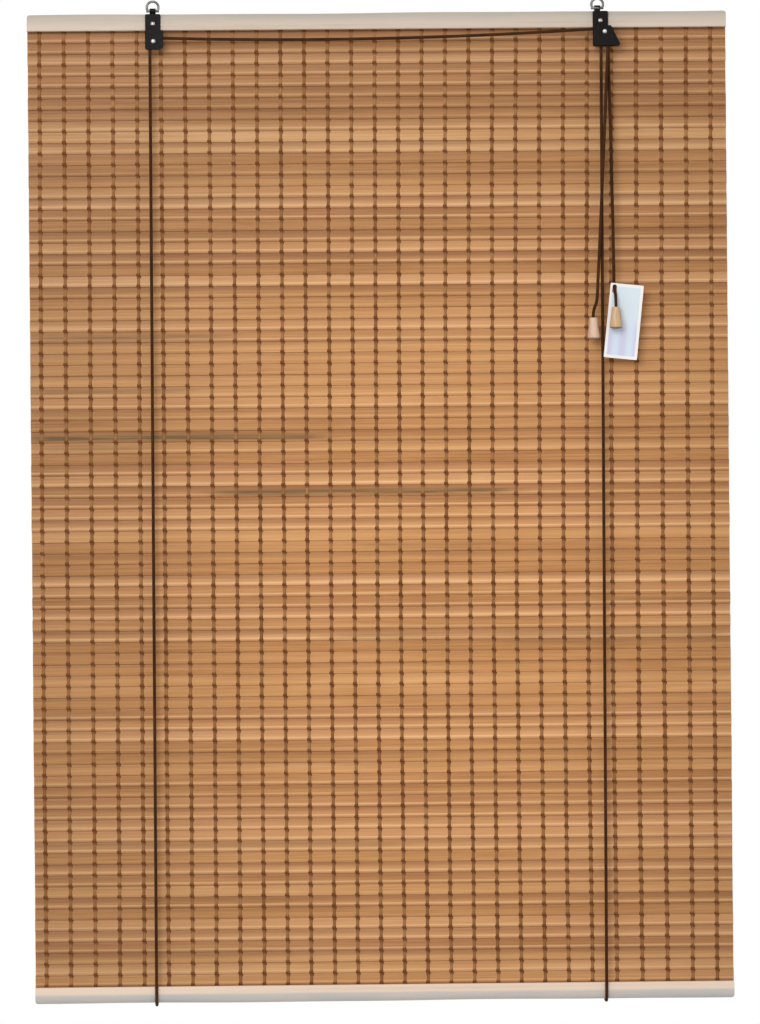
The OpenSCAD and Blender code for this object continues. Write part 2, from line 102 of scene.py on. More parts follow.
def in_scene(name, data):
    made = bpy.data.objects.new(name, data)
    bpy.context.scene.collection.objects.link(made)
    return made


for old in list(bpy.data.objects):
    bpy.data.objects.remove(old)
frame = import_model()

# %% [markdown]
# ## The camera
# The photograph was taken nearly square on, about a degree from the left, with hardly any perspective,
# and the blind leans by half a degree. A long lens far away gives the same flat view. The camera's own
# up vector leans the other way, so the blind itself stays upright in its frame.

# %% The camera
PHOTO_H = 1024
PIXEL = 0.8578 * MM
LEAN = 0.0089
FROM_LEFT = 0.0157
CAMERA_AWAY = 4.0
VIEW_CENTRE = Vector((-0.0009, 0.0, -0.4381))
SENSOR = 36.0
FAR_CLIP = 50.0

camera_data = bpy.data.cameras.new("view")
camera_data.sensor_fit = "VERTICAL"
camera_data.sensor_height = SENSOR
camera_data.lens = SENSOR * CAMERA_AWAY / (PHOTO_H * PIXEL)
camera_data.clip_end = FAR_CLIP
camera = in_scene("view", camera_data)
ahead = Vector((math.sin(FROM_LEFT), math.cos(FROM_LEFT), 0))
level = Vector((math.cos(FROM_LEFT), -math.sin(FROM_LEFT), 0))
upright = Vector((0, 0, 1))
right = math.cos(LEAN) * level - math.sin(LEAN) * upright
up = math.sin(LEAN) * level + math.cos(LEAN) * upright
turned_by = Matrix((right, up, -ahead)).transposed().to_4x4()
camera.matrix_world = Matrix.Translation(VIEW_CENTRE - CAMERA_AWAY * ahead) @ turned_by
bpy.context.scene.camera = camera
print("camera: lens", round(camera_data.lens, 1), "mm at", CAMERA_AWAY, "m")

# %% [markdown]
# ## Helpers for node trees
# Materials and Geometry Nodes are both trees of nodes and links. One helper adds a node and fills its
# inputs, either with a value or with another node's output, and a few more do arithmetic. The last ones
# make a material and join a colour, a roughness and a relief to its shader.

# %% Helpers for node trees
def feed(tree, socket, value):
    if isinstance(value, bpy.types.NodeSocket):
        tree.links.new(value, socket)
    else:
        socket.default_value = value


def put(tree, kind, sockets=None, **settings):
    made = tree.nodes.new(kind)
    for name, value in settings.items():
        setattr(made, name, value)
    for name, value in (sockets or {}).items():
        feed(tree, made.inputs[name], value)
    return made


def result(tree, kind, sockets=None, **settings):
    return put(tree, kind, sockets, **settings).outputs[0]


def calc(tree, operation, *values, clamp=False):
    return result(tree, "ShaderNodeMath", dict(enumerate(values)), operation=operation, use_clamp=clamp)


def times(tree, first, second):
    return calc(tree, "MULTIPLY", first, second)


def times_plus(tree, first, second, third):
    return calc(tree, "MULTIPLY_ADD", first, second, third)


def plus(tree, first, second):
    return calc(tree, "ADD", first, second)


def weighed(tree, start, *shares):
    for layer, share in shares:
        start = times_plus(tree, layer, share, start)
    return start


def vector(tree, **parts):
    return result(tree, "ShaderNodeCombineXYZ", parts)


def split(tree, source):
    return put(tree, "ShaderNodeSeparateXYZ", {"Vector": source}).outputs


def object_place(tree):
    return put(tree, "ShaderNodeTexCoord").outputs["Object"]


def ramp_between(tree, value, low, high, out_low=0.0, out_high=1.0):
    sockets = {"Value": value, "From Min": low, "From Max": high, "To Min": out_low, "To Max": out_high}
    made = put(tree, "ShaderNodeMapRange", sockets, interpolation_type="SMOOTHSTEP")
    return made.outputs["Result"]


def linear(red, green, blue):
    def one(c):
        c = c / 255
        return c / 12.92 if c <= 0.04045 else ((c + 0.055) / 1.055) ** 2.4
    return one(red), one(green), one(blue), 1.0


def colours(tree, value, stops):
    made = put(tree, "ShaderNodeValToRGB", {"Fac": value})
    places = made.color_ramp.elements
    while len(places) < len(stops):
        places.new(0.5)
    for place, (at, colour) in zip(places, stops):
        place.position = at
        place.color = colour
    return made.outputs["Color"]


def two_tone(tree, value, dark, light):
    return colours(tree, value, [(0.3, dark), (0.7, light)])


def blend_colour(tree, amount, first, second):
    made = put(tree, "ShaderNodeMix", data_type="RGBA")
    for place, value in ((0, amount), (6, first), (7, second)):
        feed(tree, made.inputs[place], value)
    return made.outputs[2]


def finish_named(name):
    made = bpy.data.materials.new(name)
    made.use_nodes = True
    tree = made.node_tree
    return made, tree, tree.nodes["Principled BSDF"]


def grain(tree, scale, detail=3.0, roughness=0.5, source=None):
    laid = result(tree, "ShaderNodeMapping", {"Vector": source or object_place(tree), "Scale": scale})
    sockets = {"Vector": laid, "Scale": 1.0, "Detail": detail, "Roughness": roughness}
    return put(tree, "ShaderNodeTexNoise", sockets).outputs["Fac"]


def surface(tree, shader, colour, rough, specular=0.5, height=None, depth=0.0, strength=1.0):
    feed(tree, shader.inputs["Base Color"], colour)
    feed(tree, shader.inputs["Roughness"], rough)
    feed(tree, shader.inputs["Specular IOR Level"], specular)
    if height:
        sockets = {"Height": height, "Distance": depth, "Strength": strength}
        feed(tree, shader.inputs["Normal"], result(tree, "ShaderNodeBump", sockets))


def attribute(tree, name):
    return put(tree, "ShaderNodeAttribute", attribute_name=name).outputs["Fac"]


print("helpers ready")

# %% [markdown]
# ## Light and surroundings
# A product photograph has soft light from the front, a little from above, and a white background. The
# world is brighter in front than behind, and is plain white to the camera and in reflections. One wide
# lamp models the slats. The pale floor lies below the raised blind's pulls, for the looks from other
# sides, and glows a little towards the camera only, so that it stays pale.

# %% Light and surroundings
LAMP_AT = Vector((-0.9, -2.6, 0.75))
LAMP_WIDTH = 1.5
LAMP_POWER = 40.0
FRONT_LIGHT = 0.68
BACK_LIGHT = 0.38
BACK_FROM = 0.35
FRONT_FROM = -0.9
FLOOR_Z = -2.05
FLOOR_WIDTH = 4.4
FLOOR_GLOW = 0.42
WHITE = (1, 1, 1, 1)

world = bpy.data.worlds.new("studio")
world.use_nodes = True
air = world.node_tree
air.nodes.clear()
rays = put(air, "ShaderNodeLightPath").outputs
seen = calc(air, "ADD", rays["Is Camera Ray"], rays["Is Glossy Ray"], clamp=True)
seen = calc(air, "ADD", seen, rays["Is Transmission Ray"], clamp=True)
looks = put(air, "ShaderNodeTexCoord").outputs["Generated"]
light = ramp_between(air, split(air, looks)["Y"], BACK_FROM, FRONT_FROM, BACK_LIGHT, FRONT_LIGHT)
sockets = {"Color": WHITE, "Strength": calc(air, "MAXIMUM", seen, light)}
put(air, "ShaderNodeOutputWorld", {"Surface": result(air, "ShaderNodeBackground", sockets)})
bpy.context.scene.world = world

lamp_data = bpy.data.lights.new("soft_lamp", "AREA")
lamp_data.size = LAMP_WIDTH
lamp_data.energy = LAMP_POWER
lamp = in_scene("soft_lamp", lamp_data)
lamp.location = LAMP_AT
lamp.rotation_euler = (VIEW_CENTRE - LAMP_AT).to_track_quat("-Z", "Y").to_euler()

floor_finish, tree, shader = finish_named("pale_floor")
paint = two_tone(tree, grain(tree, (3, 3, 3), 2), linear(238, 237, 235), linear(244, 243, 241))
surface(tree, shader, paint, 0.8)
to_camera = put(tree, "ShaderNodeLightPath").outputs["Is Camera Ray"]
feed(tree, shader.inputs["Emission Color"], WHITE)
feed(tree, shader.inputs["Emission Strength"], times(tree, to_camera, FLOOR_GLOW))
half = FLOOR_WIDTH / 2
corners = [(x * half, y * half, FLOOR_Z) for x, y in ((-1, -1), (1, -1), (1, 1), (-1, 1))]
floor_mesh = bpy.data.meshes.new("floor")
floor_mesh.from_pydata(corners, [], [(0, 1, 2, 3)])
floor_mesh.materials.append(floor_finish)
floor = in_scene("floor", floor_mesh)
floor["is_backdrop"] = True
bpy.context.scene.view_settings.view_transform = "Standard"
print("light: one lamp of", LAMP_POWER, "W and a world from", BACK_LIGHT, "to", FRONT_LIGHT)

# %% [markdown]
# ## Helpers for shapes
# Three shapes come back often: a tube along a route, for cords and wire; a turned form, for wheels,
# rivets and pulls; and a mesh made from lists. A tube carries a UV map, with one turn across and metres
# along, so that a braid can follow it.

# %% Helpers for shapes
SHARP = math.radians(38)
MERGE_WITHIN = 1e-7


def applied(holder, name):
    bpy.context.view_layer.update()
    graph = bpy.context.evaluated_depsgraph_get()
    mesh = bpy.data.meshes.new_from_object(holder.evaluated_get(graph), depsgraph=graph)
    bpy.data.objects.remove(holder)
    mesh.name = name
    return mesh


def piece_from(name, mesh, finish, body=None, flat_faces=False):
    mesh.materials.clear()
    mesh.materials.append(finish)
    mesh.polygons.foreach_set("use_smooth", [True] * len(mesh.polygons))
    mesh.set_sharp_from_angle(angle=SHARP)
    if flat_faces:
        holder = in_scene(name + "_holder", mesh)
        weigh = holder.modifiers.new("Weigh", "WEIGHTED_NORMAL")
        weigh.keep_sharp = True
        mesh = applied(holder, name)
    made = in_scene(name, mesh)
    if body:
        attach(made, body)
    return made


def mesh_from(name, points, faces):
    mesh = bpy.data.meshes.new(name)
    mesh.from_pydata([tuple(p) for p in points], [], faces)
    return mesh


def add_layer(mesh, name, values):
    layer = mesh.attributes.new(name, "FLOAT", "POINT")
    layer.data.foreach_set("value", np.array(values, np.float32))


def layer_of(mesh, name):
    held = np.zeros(len(mesh.vertices), np.float32)
    mesh.attributes[name].data.foreach_get("value", held)
    return held


def from_parts(name, made):
    mesh = bpy.data.meshes.new(name)
    made.to_mesh(mesh)
    made.free()
    return mesh


def loft(rings, count):
    faces = []
    for i in range(rings - 1):
        for k in range(count):
            p, q = i * count + k, i * count + (k + 1) % count
            faces.append((p, q, q + count, p + count))
    return faces


def outward(mesh):
    made = bmesh.new()
    made.from_mesh(mesh)
    bmesh.ops.remove_doubles(made, verts=made.verts, dist=MERGE_WITHIN)
    bmesh.ops.recalc_face_normals(made, faces=made.faces)
    made.to_mesh(mesh)
    made.free()
    return mesh


def smooth_route(route, step):
    points = [Vector(p) for p in route]
    ends = [2 * points[0] - points[1], *points, 2 * points[-1] - points[-2]]
    made = []
    for a, b, c, d in zip(ends, ends[1:], ends[2:], ends[3:]):
        count = max(1, round((c - b).length / step))
        for i in range(count):
            t = i / count
            made.append(0.5 * (2 * b + (c - a) * t + (2 * a - 5 * b + 4 * c - d) * t * t
                               + (3 * b - a - 3 * c + d) * t ** 3))
    return made + [points[-1]]


def route_length(route):
    return sum((Vector(b) - Vector(a)).length for a, b in zip(route, route[1:]))


def tube_mesh(name, route, radius, sides=12, swell=None):
    route = [Vector(p) for p in route]
    ways = [(b - a).normalized() for a, b in zip(route, route[1:])]
    ways = [ways[0], *[(a + b).normalized() for a, b in zip(ways, ways[1:])], ways[-1]]
    side = ways[0].orthogonal().normalized()
    points, along, run = [], [], 0.0
    for i, (at, way) in enumerate(zip(route, ways)):
        side = (side - way * side.dot(way)).normalized()
        across = way.cross(side)
        run += (at - route[i - 1]).length if i else 0.0
        along.append(run)
        r = radius * (swell[i] if swell else 1.0)
        for k in range(sides):
            a = 2 * math.pi * k / sides
            points.append(at + r * (math.cos(a) * side + math.sin(a) * across))
    spots = []
    for start, stop in zip(along, along[1:]):
        for k in range(sides):
            u, v = k / sides, (k + 1) / sides
            spots += [(u, start), (v, start), (v, stop), (u, stop)]
    faces = loft(len(route), sides)
    last = (len(route) - 1) * sides
    faces += [tuple(range(sides - 1, -1, -1)), tuple(range(last, last + sides))]
    spots += [(0.5, 0.0)] * sides + [(0.5, run)] * sides
    mesh = mesh_from(name, points, faces)
    uv = mesh.uv_layers.new(name="along_cord")
    uv.data.foreach_set("uv", np.array(spots, np.float32).ravel())
    return mesh


def turned_mesh(name, profile, at, axis, segments=40):
    forward = Vector(axis).normalized()
    side = forward.orthogonal().normalized()
    across = forward.cross(side)
    points = []
    for r, h in profile:
        for k in range(segments):
            a = 2 * math.pi * k / segments
            points.append(Vector(at) + forward * h + r * (math.cos(a) * side + math.sin(a) * across))
    return outward(mesh_from(name, points, loft(len(profile), segments)))


def arc(centre, radius, start, stop, steps):
    angles = [math.radians(start + (stop - start) * i / steps) for i in range(steps + 1)]
    return [(centre[0] + radius * math.cos(a), centre[1] + radius * math.sin(a)) for a in angles]


print("shape helpers ready")

# %% [markdown]
# ## Growing a piece from a node group
# Everything that repeats is grown by Geometry Nodes: the slats, the lines of twine and the brads. A
# holder object carries the modifier while its inputs are set by their identifiers; the evaluated result
# becomes a plain mesh, and the holder goes.

# %% Growing a piece from a node group
def group_of(name, inputs):
    tree = bpy.data.node_groups.new(name, "GeometryNodeTree")
    for title, kind in inputs:
        tree.interface.new_socket(title, in_out="INPUT", socket_type="NodeSocket" + kind)
    tree.interface.new_socket("Geometry", in_out="OUTPUT", socket_type="NodeSocketGeometry")
    return tree, tree.nodes.new("NodeGroupInput").outputs


def end_group(tree, geometry, finish):
    whole = result(tree, "GeometryNodeRealizeInstances", {"Geometry": geometry})
    made = result(tree, "GeometryNodeSetMaterial", {"Geometry": whole, "Material": finish})
    put(tree, "NodeGroupOutput", {"Geometry": made})


def grow(name, tree, values):
    holder = in_scene(name + "_holder", bpy.data.meshes.new(name + "_holder"))
    build = holder.modifiers.new("Build", "NODES")
    build.node_group = tree
    for item in tree.interface.items_tree:
        if item.in_out == "INPUT":
            build[item.identifier] = values[item.name]
    return applied(holder, name)


def moved(tree, geometry, shift):
    return result(tree, "GeometryNodeSetPosition", {"Geometry": geometry, "Offset": shift})


def stored(tree, geometry, name, value, domain):
    sockets = {"Geometry": geometry, "Name": name, "Value": value}
    return result(tree, "GeometryNodeStoreNamedAttribute", sockets, domain=domain, data_type="FLOAT")


def noise_offset(tree, geometry, own, scale, x, y, z):
    place = result(tree, "GeometryNodeInputPosition")
    scaled = result(tree, "ShaderNodeVectorMath", {0: place, 1: scale}, operation="MULTIPLY")
    sockets = {"Vector": scaled, "W": own, "Scale": 1.0, "Detail": 2.0}
    cloud = put(tree, "ShaderNodeTexNoise", sockets, noise_dimensions="4D").outputs["Color"]
    centred = result(tree, "ShaderNodeVectorMath", {0: cloud, 1: (0.5, 0.5, 0.5)}, operation="SUBTRACT")
    shift = result(tree, "ShaderNodeVectorMath", {0: centred, 1: (x, y, z)}, operation="MULTIPLY")
    return moved(tree, geometry, shift)


print("node group helpers ready")

# %% [markdown]
# ## Finish: split bamboo
# Each slat is stained a warm brown and has its own tone. Fine fibres run along it. Its edges carry painted
# shade, broad towards the upper edge and narrow at the lower edge, stronger on some slats than others, and
# a painted highlight often runs as a paler line in its lower half. A few slats carry a grey-green weather
# stain, and the whole mat carries painted light, paler in its middle than at its edges. The tone, the tint,
# the place across the slat and the stain come from attributes of the mesh; the fibres come from stretched
# noise on Object coordinates, shifted for each slat.

# %% Finish: split bamboo
OWN_SHIFT = 0.37
PAINTED_LIGHT_MIDDLE = {"Location": (-0.14, 0, 1.13), "Scale": (2.8, 0, 2.17)}
bamboo, tree, shader = finish_named("split_bamboo")
layers = ("slat_tone", "slat_tint", "slat_across", "slat_id", "slat_stain")
tone, tint, across, own, stain = [attribute(tree, name) for name in layers]
place = object_place(tree)
shifted = vector(tree, X=times(tree, own, OWN_SHIFT))
spot = result(tree, "ShaderNodeVectorMath", {0: place, 1: shifted}, operation="ADD")
slow = grain(tree, (5, 3, 40), 2, 0.5, spot)
fibre = grain(tree, (9, 300, 700), 4, 0.65, spot)
fine = grain(tree, (30, 900, 2400), 2, 0.6, spot)
value = weighed(tree, -0.27, (tone, 0.42), (slow, 0.44), (fibre, 0.70), (fine, 0.16))
wood = colours(tree, value, [
    (0.05, linear(134, 82, 36)), (0.30, linear(167, 112, 61)), (0.50, linear(190, 134, 80)),
    (0.72, linear(208, 153, 98)), (0.95, linear(230, 180, 128))])
patch = grain(tree, (7, 4, 55), 1, 0.5, spot)
hue = weighed(tree, -0.55, (tint, 0.8), (patch, 0.9))
rosy = blend_colour(tree, 0.26, wood, linear(200, 136, 100))
wood = blend_colour(tree, ramp_between(tree, hue, 0.20, 0.85), wood, rosy)
# Painted highlight: a paler line in the lower half of some slats.
highlight_at = calc(tree, "ABSOLUTE", plus(tree, across, 0.50))
painted_highlight = times(tree, ramp_between(tree, highlight_at, 0.28, 0.02), ramp_between(tree, tint, 0.15, 0.7))
wood = blend_colour(tree, times(tree, painted_highlight, 0.50), wood, linear(240, 196, 146))
# Painted shade at each slat's edges: broad towards the upper edge, narrow at the lower edge, stronger on
# some slats than others.
chance = calc(tree, "FRACT", times(tree, own, 0.618))
other = calc(tree, "FRACT", times(tree, own, 0.414))
uneven = plus(tree, other, grain(tree, (6, 4, 20), 1, 0.5, spot))
lines = plus(tree, across, times_plus(tree, uneven, 0.5, -0.5))
edge = times(tree, ramp_between(tree, lines, -0.3, 0.9), times_plus(tree, chance, 0.58, 0.08))
under = times(tree, ramp_between(tree, lines, -0.5, -1.1), times(tree, other, 0.45))
wood = blend_colour(tree, calc(tree, "MAXIMUM", edge, under), wood, linear(130, 80, 40))
streaky = ramp_between(tree, grain(tree, (11, 40, 900), 2, 0.6, spot), 0.30, 0.62)
weathered = calc(tree, "MULTIPLY", stain, times_plus(tree, streaky, 0.6, 0.4), clamp=True)
wood = blend_colour(tree, weathered, wood, linear(106, 79, 44))
# Painted light: the mat is paler in its middle and darker towards its edges.
from_middle = result(tree, "ShaderNodeMapping", {"Vector": place, **PAINTED_LIGHT_MIDDLE})
from_middle = put(tree, "ShaderNodeVectorMath", {0: from_middle}, operation="LENGTH").outputs["Value"]
painted_light_falloff = ramp_between(tree, from_middle, 0.15, 1.35, 1.15, 0.74)
wood = result(tree, "ShaderNodeHueSaturation", {"Color": wood, "Value": painted_light_falloff})
fibres = plus(tree, fibre, times(tree, fine, 0.5))
surface(tree, shader, wood, ramp_between(tree, fibre, 0.2, 0.8, 0.60, 0.42), 0.35, fibres, 0.25 * MM, 0.6)
print("finish:", bamboo.name)

# %% [markdown]
# ## The slats
# One slat is a flat strip with a crowned face, as split bamboo has, and the blind has 88 of them. A
# single blank is made as a mesh; Geometry Nodes place it again and again down the mat, give each copy a
# tone and a tint from a fixed seed, and bend it a little with noise, because no two slats lie quite the
# same. Each slat's lower lip hangs just in front of the next slat's upper edge, without touching it, so
# that a gap reads as a thin dark line.

# %% The blank of one slat
mat_low, mat_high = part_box("bamboo_mat")
SLAT_COUNT = 88
SLAT_PITCH = (mat_high.z - mat_low.z) / SLAT_COUNT
SLAT_CUTS = 36
FACE_RISE = 1.40 * MM
SLAT_SECTION = (
    (-0.35, -4.80), (-0.90, -4.84), (-1.14, -4.70), (-1.30, -4.10), (-1.38, -2.40), (-1.40, 0.0),
    (-1.38, 2.20), (-1.28, 3.70), (-1.10, 4.38), (-0.84, 4.60), (-0.04, 4.64), (0.10, 4.94), (0.48, 4.98),
    (0.74, 4.30), (0.88, 2.20), (0.90, -0.50), (0.84, -2.60), (0.70, -3.90), (0.45, -4.22), (0.02, -4.28))
middle_y = mat_low.y + FACE_RISE
half_slat = SLAT_PITCH / 2


def slat_blank():
    count = len(SLAT_SECTION)
    points, across = [], []
    for i in range(SLAT_CUTS + 1):
        x = mat_low.x + (mat_high.x - mat_low.x) * i / SLAT_CUTS
        points += [(x, y * MM, z * MM) for y, z in SLAT_SECTION]
        across += [z * MM / half_slat for y, z in SLAT_SECTION]
    last = SLAT_CUTS * count
    caps = [tuple(range(count)), tuple(range(last + count - 1, last - 1, -1))]
    mesh = mesh_from("slat_blank", points, loft(SLAT_CUTS + 1, count) + caps)
    add_layer(mesh, "slat_across", across)
    return in_scene("slat_blank", outward(mesh))


blank = slat_blank()
print("slat:", round(SLAT_PITCH / MM, 3), "mm pitch,", len(blank.data.polygons), "faces")

# %% The tree that lays the slats
SLAT_SEED = 11
SLAT_LEAN = 0.012
SMALLEST_SLAT = (0.9990, 0.94, 1.0)
LARGEST_SLAT = (1.0, 1.04, 1.0)
OWN_WAVE = 7.31
WAVE_SCALE = (4.5, 0, 0)
WAVE_DEEP = 0.5 * MM
WAVE_HIGH = 0.16 * MM

mat_tree, given = group_of("lay_slats", [
    ("Slat", "Object"), ("Count", "Int"), ("Pitch", "Float"), ("Top", "Float"), ("Depth", "Float"),
    ("Seed", "Int"), ("Finish", "Material")])
tree = mat_tree


def drawn(tree, seed, kind, *limits):
    sockets = {"Seed": seed, **dict(enumerate(limits))}
    return put(tree, "FunctionNodeRandomValue", sockets, data_type=kind).outputs


seeds = [plus(tree, given["Seed"], step) for step in (0.0, 1.0, 2.0, 3.0)]
first = vector(tree, Y=given["Depth"], Z=times_plus(tree, given["Pitch"], -0.5, given["Top"]))
drop = vector(tree, Z=times(tree, given["Pitch"], -1.0))
sockets = {"Count": given["Count"], "Start Location": first, "Offset": drop}
row = result(tree, "GeometryNodeMeshLine", sockets)
lean = drawn(tree, seeds[0], "FLOAT_VECTOR", (-SLAT_LEAN, 0, 0), (SLAT_LEAN, 0, 0))[0]
sized = drawn(tree, seeds[1], "FLOAT_VECTOR", SMALLEST_SLAT, LARGEST_SLAT)[0]
tone = drawn(tree, seeds[2], "FLOAT")[1]
tint = drawn(tree, seeds[3], "FLOAT")[1]
cane = put(tree, "GeometryNodeObjectInfo", {"Object": given["Slat"]}).outputs["Geometry"]
sockets = {"Points": row, "Instance": cane, "Rotation": lean, "Scale": sized}
whole = result(tree, "GeometryNodeInstanceOnPoints", sockets)
number = result(tree, "GeometryNodeInputIndex")
for name, value in (("slat_tone", tone), ("slat_tint", tint), ("slat_id", number)):
    whole = stored(tree, whole, name, value, "INSTANCE")
whole = result(tree, "GeometryNodeRealizeInstances", {"Geometry": whole})
own_id = result(tree, "GeometryNodeInputNamedAttribute", {"Name": "slat_id"}, data_type="FLOAT")
whole = noise_offset(tree, whole, times(tree, own_id, OWN_WAVE), WAVE_SCALE, 0.0, WAVE_DEEP, WAVE_HIGH)
end_group(tree, whole, given["Finish"])
slat_mesh = grow("bamboo_slats", mat_tree, {
    "Slat": blank, "Count": SLAT_COUNT, "Pitch": SLAT_PITCH, "Top": mat_high.z, "Depth": middle_y,
    "Seed": SLAT_SEED, "Finish": bamboo})
bpy.data.objects.remove(blank)
print("slats:", len(slat_mesh.polygons), "faces")

# %% [markdown]
# Natural slats carry a few long grey-green stains where the cane weathered before it was split. Each
# stain is a slat's number, the stretch of the slat that it covers, its strength and its place across the
# slat. They go into one more attribute, which fades out at both ends. Some slats are also darker all
# along, so their tone is lowered; at slats 2 and 3, just below the head rail, this is the rail's painted
# shadow.

# %% Weather stains on a few slats
STAINS = (
    (5, 0.10, 0.30, 0.30, 0.2), (28, -0.30, -0.13, 0.50, -0.1), (33, -0.30, -0.16, 0.50, 0.2),
    (37, -0.30, -0.05, 0.95, -0.4), (38, -0.30, -0.20, 0.30, -0.3), (42, -0.14, 0.11, 0.95, -0.3),
    (47, -0.02, 0.10, 0.25, 0.2), (52, 0.20, 0.30, 0.45, 0.0), (55, -0.05, 0.30, 0.45, -0.2),
    (56, 0.10, 0.30, 0.30, 0.4), (66, -0.25, 0.05, 0.25, 0.0), (74, -0.30, 0.02, 0.30, 0.2))
# Slats 2 and 3 sit just below the head rail: their lowered tone is the rail's painted shadow. The others
# are darker slats.
DARK_AND_SHADOWED_SLATS = (
    (2, 0.45), (3, 0.15), (28, 0.25), (29, 0.28), (34, 0.40), (35, 0.20), (36, 0.25), (38, 0.25),
    (47, 0.35), (73, 0.22), (75, 0.22), (78, 0.32))
STAIN_FADE = 0.03
STAIN_HALF = 0.46
along = np.array([v.co.x for v in slat_mesh.vertices], np.float32)
numbers = np.round(layer_of(slat_mesh, "slat_id"))
across = layer_of(slat_mesh, "slat_across")
tones = layer_of(slat_mesh, "slat_tone")
for slat, darker in DARK_AND_SHADOWED_SLATS:
    tones[numbers == slat] -= darker
slat_mesh.attributes["slat_tone"].data.foreach_set("value", tones)
stained = np.zeros(len(along), np.float32)
for slat, start, stop, strength, middle in STAINS:
    inside = np.clip(np.minimum(along - start, stop - along) / STAIN_FADE + 0.5, 0, 1)
    inside *= np.abs(across - middle) < STAIN_HALF
    stained = np.maximum(stained, strength * inside * (numbers == slat))
add_layer(slat_mesh, "slat_stain", stained)
slats = piece_from("bamboo_slats", slat_mesh, bamboo, "head")
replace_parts(slats, "bamboo_mat")
print("slats:", len(STAINS), "stains and", len(DARK_AND_SHADOWED_SLATS), "darker ones among", SLAT_COUNT)

# %% [markdown]
# ## Finish: warp twine
# The slats are tied by a brown cotton twine with a matt, fibrous surface. It is darker at the gaps, where
# the two strands cross and little light reaches them.

# %% Finish: warp twine
twine, tree, shader = finish_named("warp_twine")
spot = object_place(tree)
fuzz = grain(tree, (1400, 1400, 900), 3, 0.6, spot)
cloudy = grain(tree, (60, 60, 25), 2, 0.5, spot)
tone = weighed(tree, -0.1, (fuzz, 0.5), (cloudy, 0.8))
dye = colours(tree, tone, [
    (0.25, linear(120, 75, 40)), (0.5, linear(148, 100, 59)), (0.8, linear(178, 130, 84))])
bead = ramp_between(tree, attribute(tree, "twine_bead"), 0.1, 0.9, 0.0, 0.9)
dye = blend_colour(tree, bead, dye, linear(104, 60, 27))
surface(tree, shader, dye, 0.85, 0.2, fuzz, 0.3 * MM, 0.7)
print("finish:", twine.name)

# %% [markdown]
# ## The twined warps
# Each line of twine is two strands. One passes over a slat while the other passes behind it, and in the
# gap they cross, where they show side by side as a small bead. One tree sweeps a flattened yarn down the
# mat, then bends two copies of it by their height: half a wave to each slat, in depth and sideways. The
# pair is repeated across the mat. The lines aren't quite evenly spaced: they drift a few millimetres to
# the left in the right half, more where the mat hangs free than at the rails.

# %% The tree that twines the warps
LINE_COUNT = 29
LINE_PITCH = 20.6 * MM
STEPS_A_SLAT = 6
YARN_R = 1.30 * MM
YARN_FLAT = 0.52
YARN_SIDES = 6
TWINE_HALF = 0.40 * MM
TWINE_DEPTH = 1.50 * MM
BEAD_RISE = 0.95 * MM
BEAD_SWELL = 0.50
DRIFT_FROM = -161 * MM
DRIFT_WAVE = 8.71
DRIFT_SWING = 3.6 * MM
DRIFT_MEAN = 3.7 * MM
DRIFT_FADES = 180 * MM
DRIFT_ENDS = 290 * MM
DRIFT_ARCH = 2.5
DRIFT_LEFT_OVER = 0.4
HELD_SHARE = 0.62
FREE_SHARE = 0.5
CROSSING_SHARP = 4.0
DIP_SHARP = 0.5
UNEVEN_OWN = 3.0
UNEVEN_SCALE = (48.0, 0, 14.0)
UNEVEN_WIDE = 1.1 * MM
UNEVEN_HIGH = 0.5 * MM

warp_tree, given = group_of("twine_warps", [
    ("Lines", "Int"), ("Line pitch", "Float"), ("First line", "Float"), ("Slats", "Int"),
    ("Slat pitch", "Float"), ("Top", "Float"), ("Depth", "Float"), ("Half width", "Float"),
    ("Half depth", "Float"), ("Yarn radius", "Float"), ("Finish", "Material")])
tree = warp_tree
length = times(tree, given["Slats"], given["Slat pitch"])
sockets = {"Start": vector(tree, Z=given["Top"]),
           "End": vector(tree, Z=calc(tree, "SUBTRACT", given["Top"], length))}
straight = result(tree, "GeometryNodeCurvePrimitiveLine", sockets)
steps = times_plus(tree, given["Slats"], float(STEPS_A_SLAT), 1.0)
straight = result(tree, "GeometryNodeResampleCurve", {"Curve": straight, "Count": steps})
sockets = {"Resolution": YARN_SIDES, "Radius": given["Yarn radius"]}
profile = result(tree, "GeometryNodeCurvePrimitiveCircle", sockets)
sockets = {"Curve": straight, "Profile Curve": profile, "Fill Caps": True}
yarn = result(tree, "GeometryNodeCurveToMesh", sockets)
yarn = result(tree, "GeometryNodeTransform", {"Geometry": yarn, "Scale": (1, YARN_FLAT, 1)})
at = split(tree, result(tree, "GeometryNodeInputPosition"))
down = calc(tree, "SUBTRACT", given["Top"], at["Z"])
turn = times(tree, calc(tree, "DIVIDE", down, given["Slat pitch"]), math.pi)
swing = calc(tree, "COSINE", turn)
near_gap = calc(tree, "POWER", calc(tree, "ABSOLUTE", swing), CROSSING_SHARP)
swing = times(tree, times(tree, swing, near_gap), given["Half width"])
wave = calc(tree, "SINE", turn)
steep = calc(tree, "POWER", calc(tree, "ABSOLUTE", wave), DIP_SHARP)
steep = times(tree, times(tree, steep, calc(tree, "SIGN", wave)), given["Half depth"])
swell = times(tree, near_gap, BEAD_SWELL)
yarn = stored(tree, yarn, "twine_bead", near_gap, "POINT")
both = put(tree, "GeometryNodeJoinGeometry")
for sign in (1.0, -1.0):
    sideways = times_plus(tree, swing, sign, times(tree, at["X"], swell))
    deep = times_plus(tree, steep, -sign, times(tree, at["Y"], swell))
    deep = times_plus(tree, near_gap, -BEAD_RISE, deep)
    tree.links.new(moved(tree, yarn, vector(tree, X=sideways, Y=deep)), both.inputs[0])
sockets = {"Count": given["Lines"], "Offset": vector(tree, X=given["Line pitch"]),
           "Start Location": vector(tree, X=given["First line"], Y=given["Depth"])}
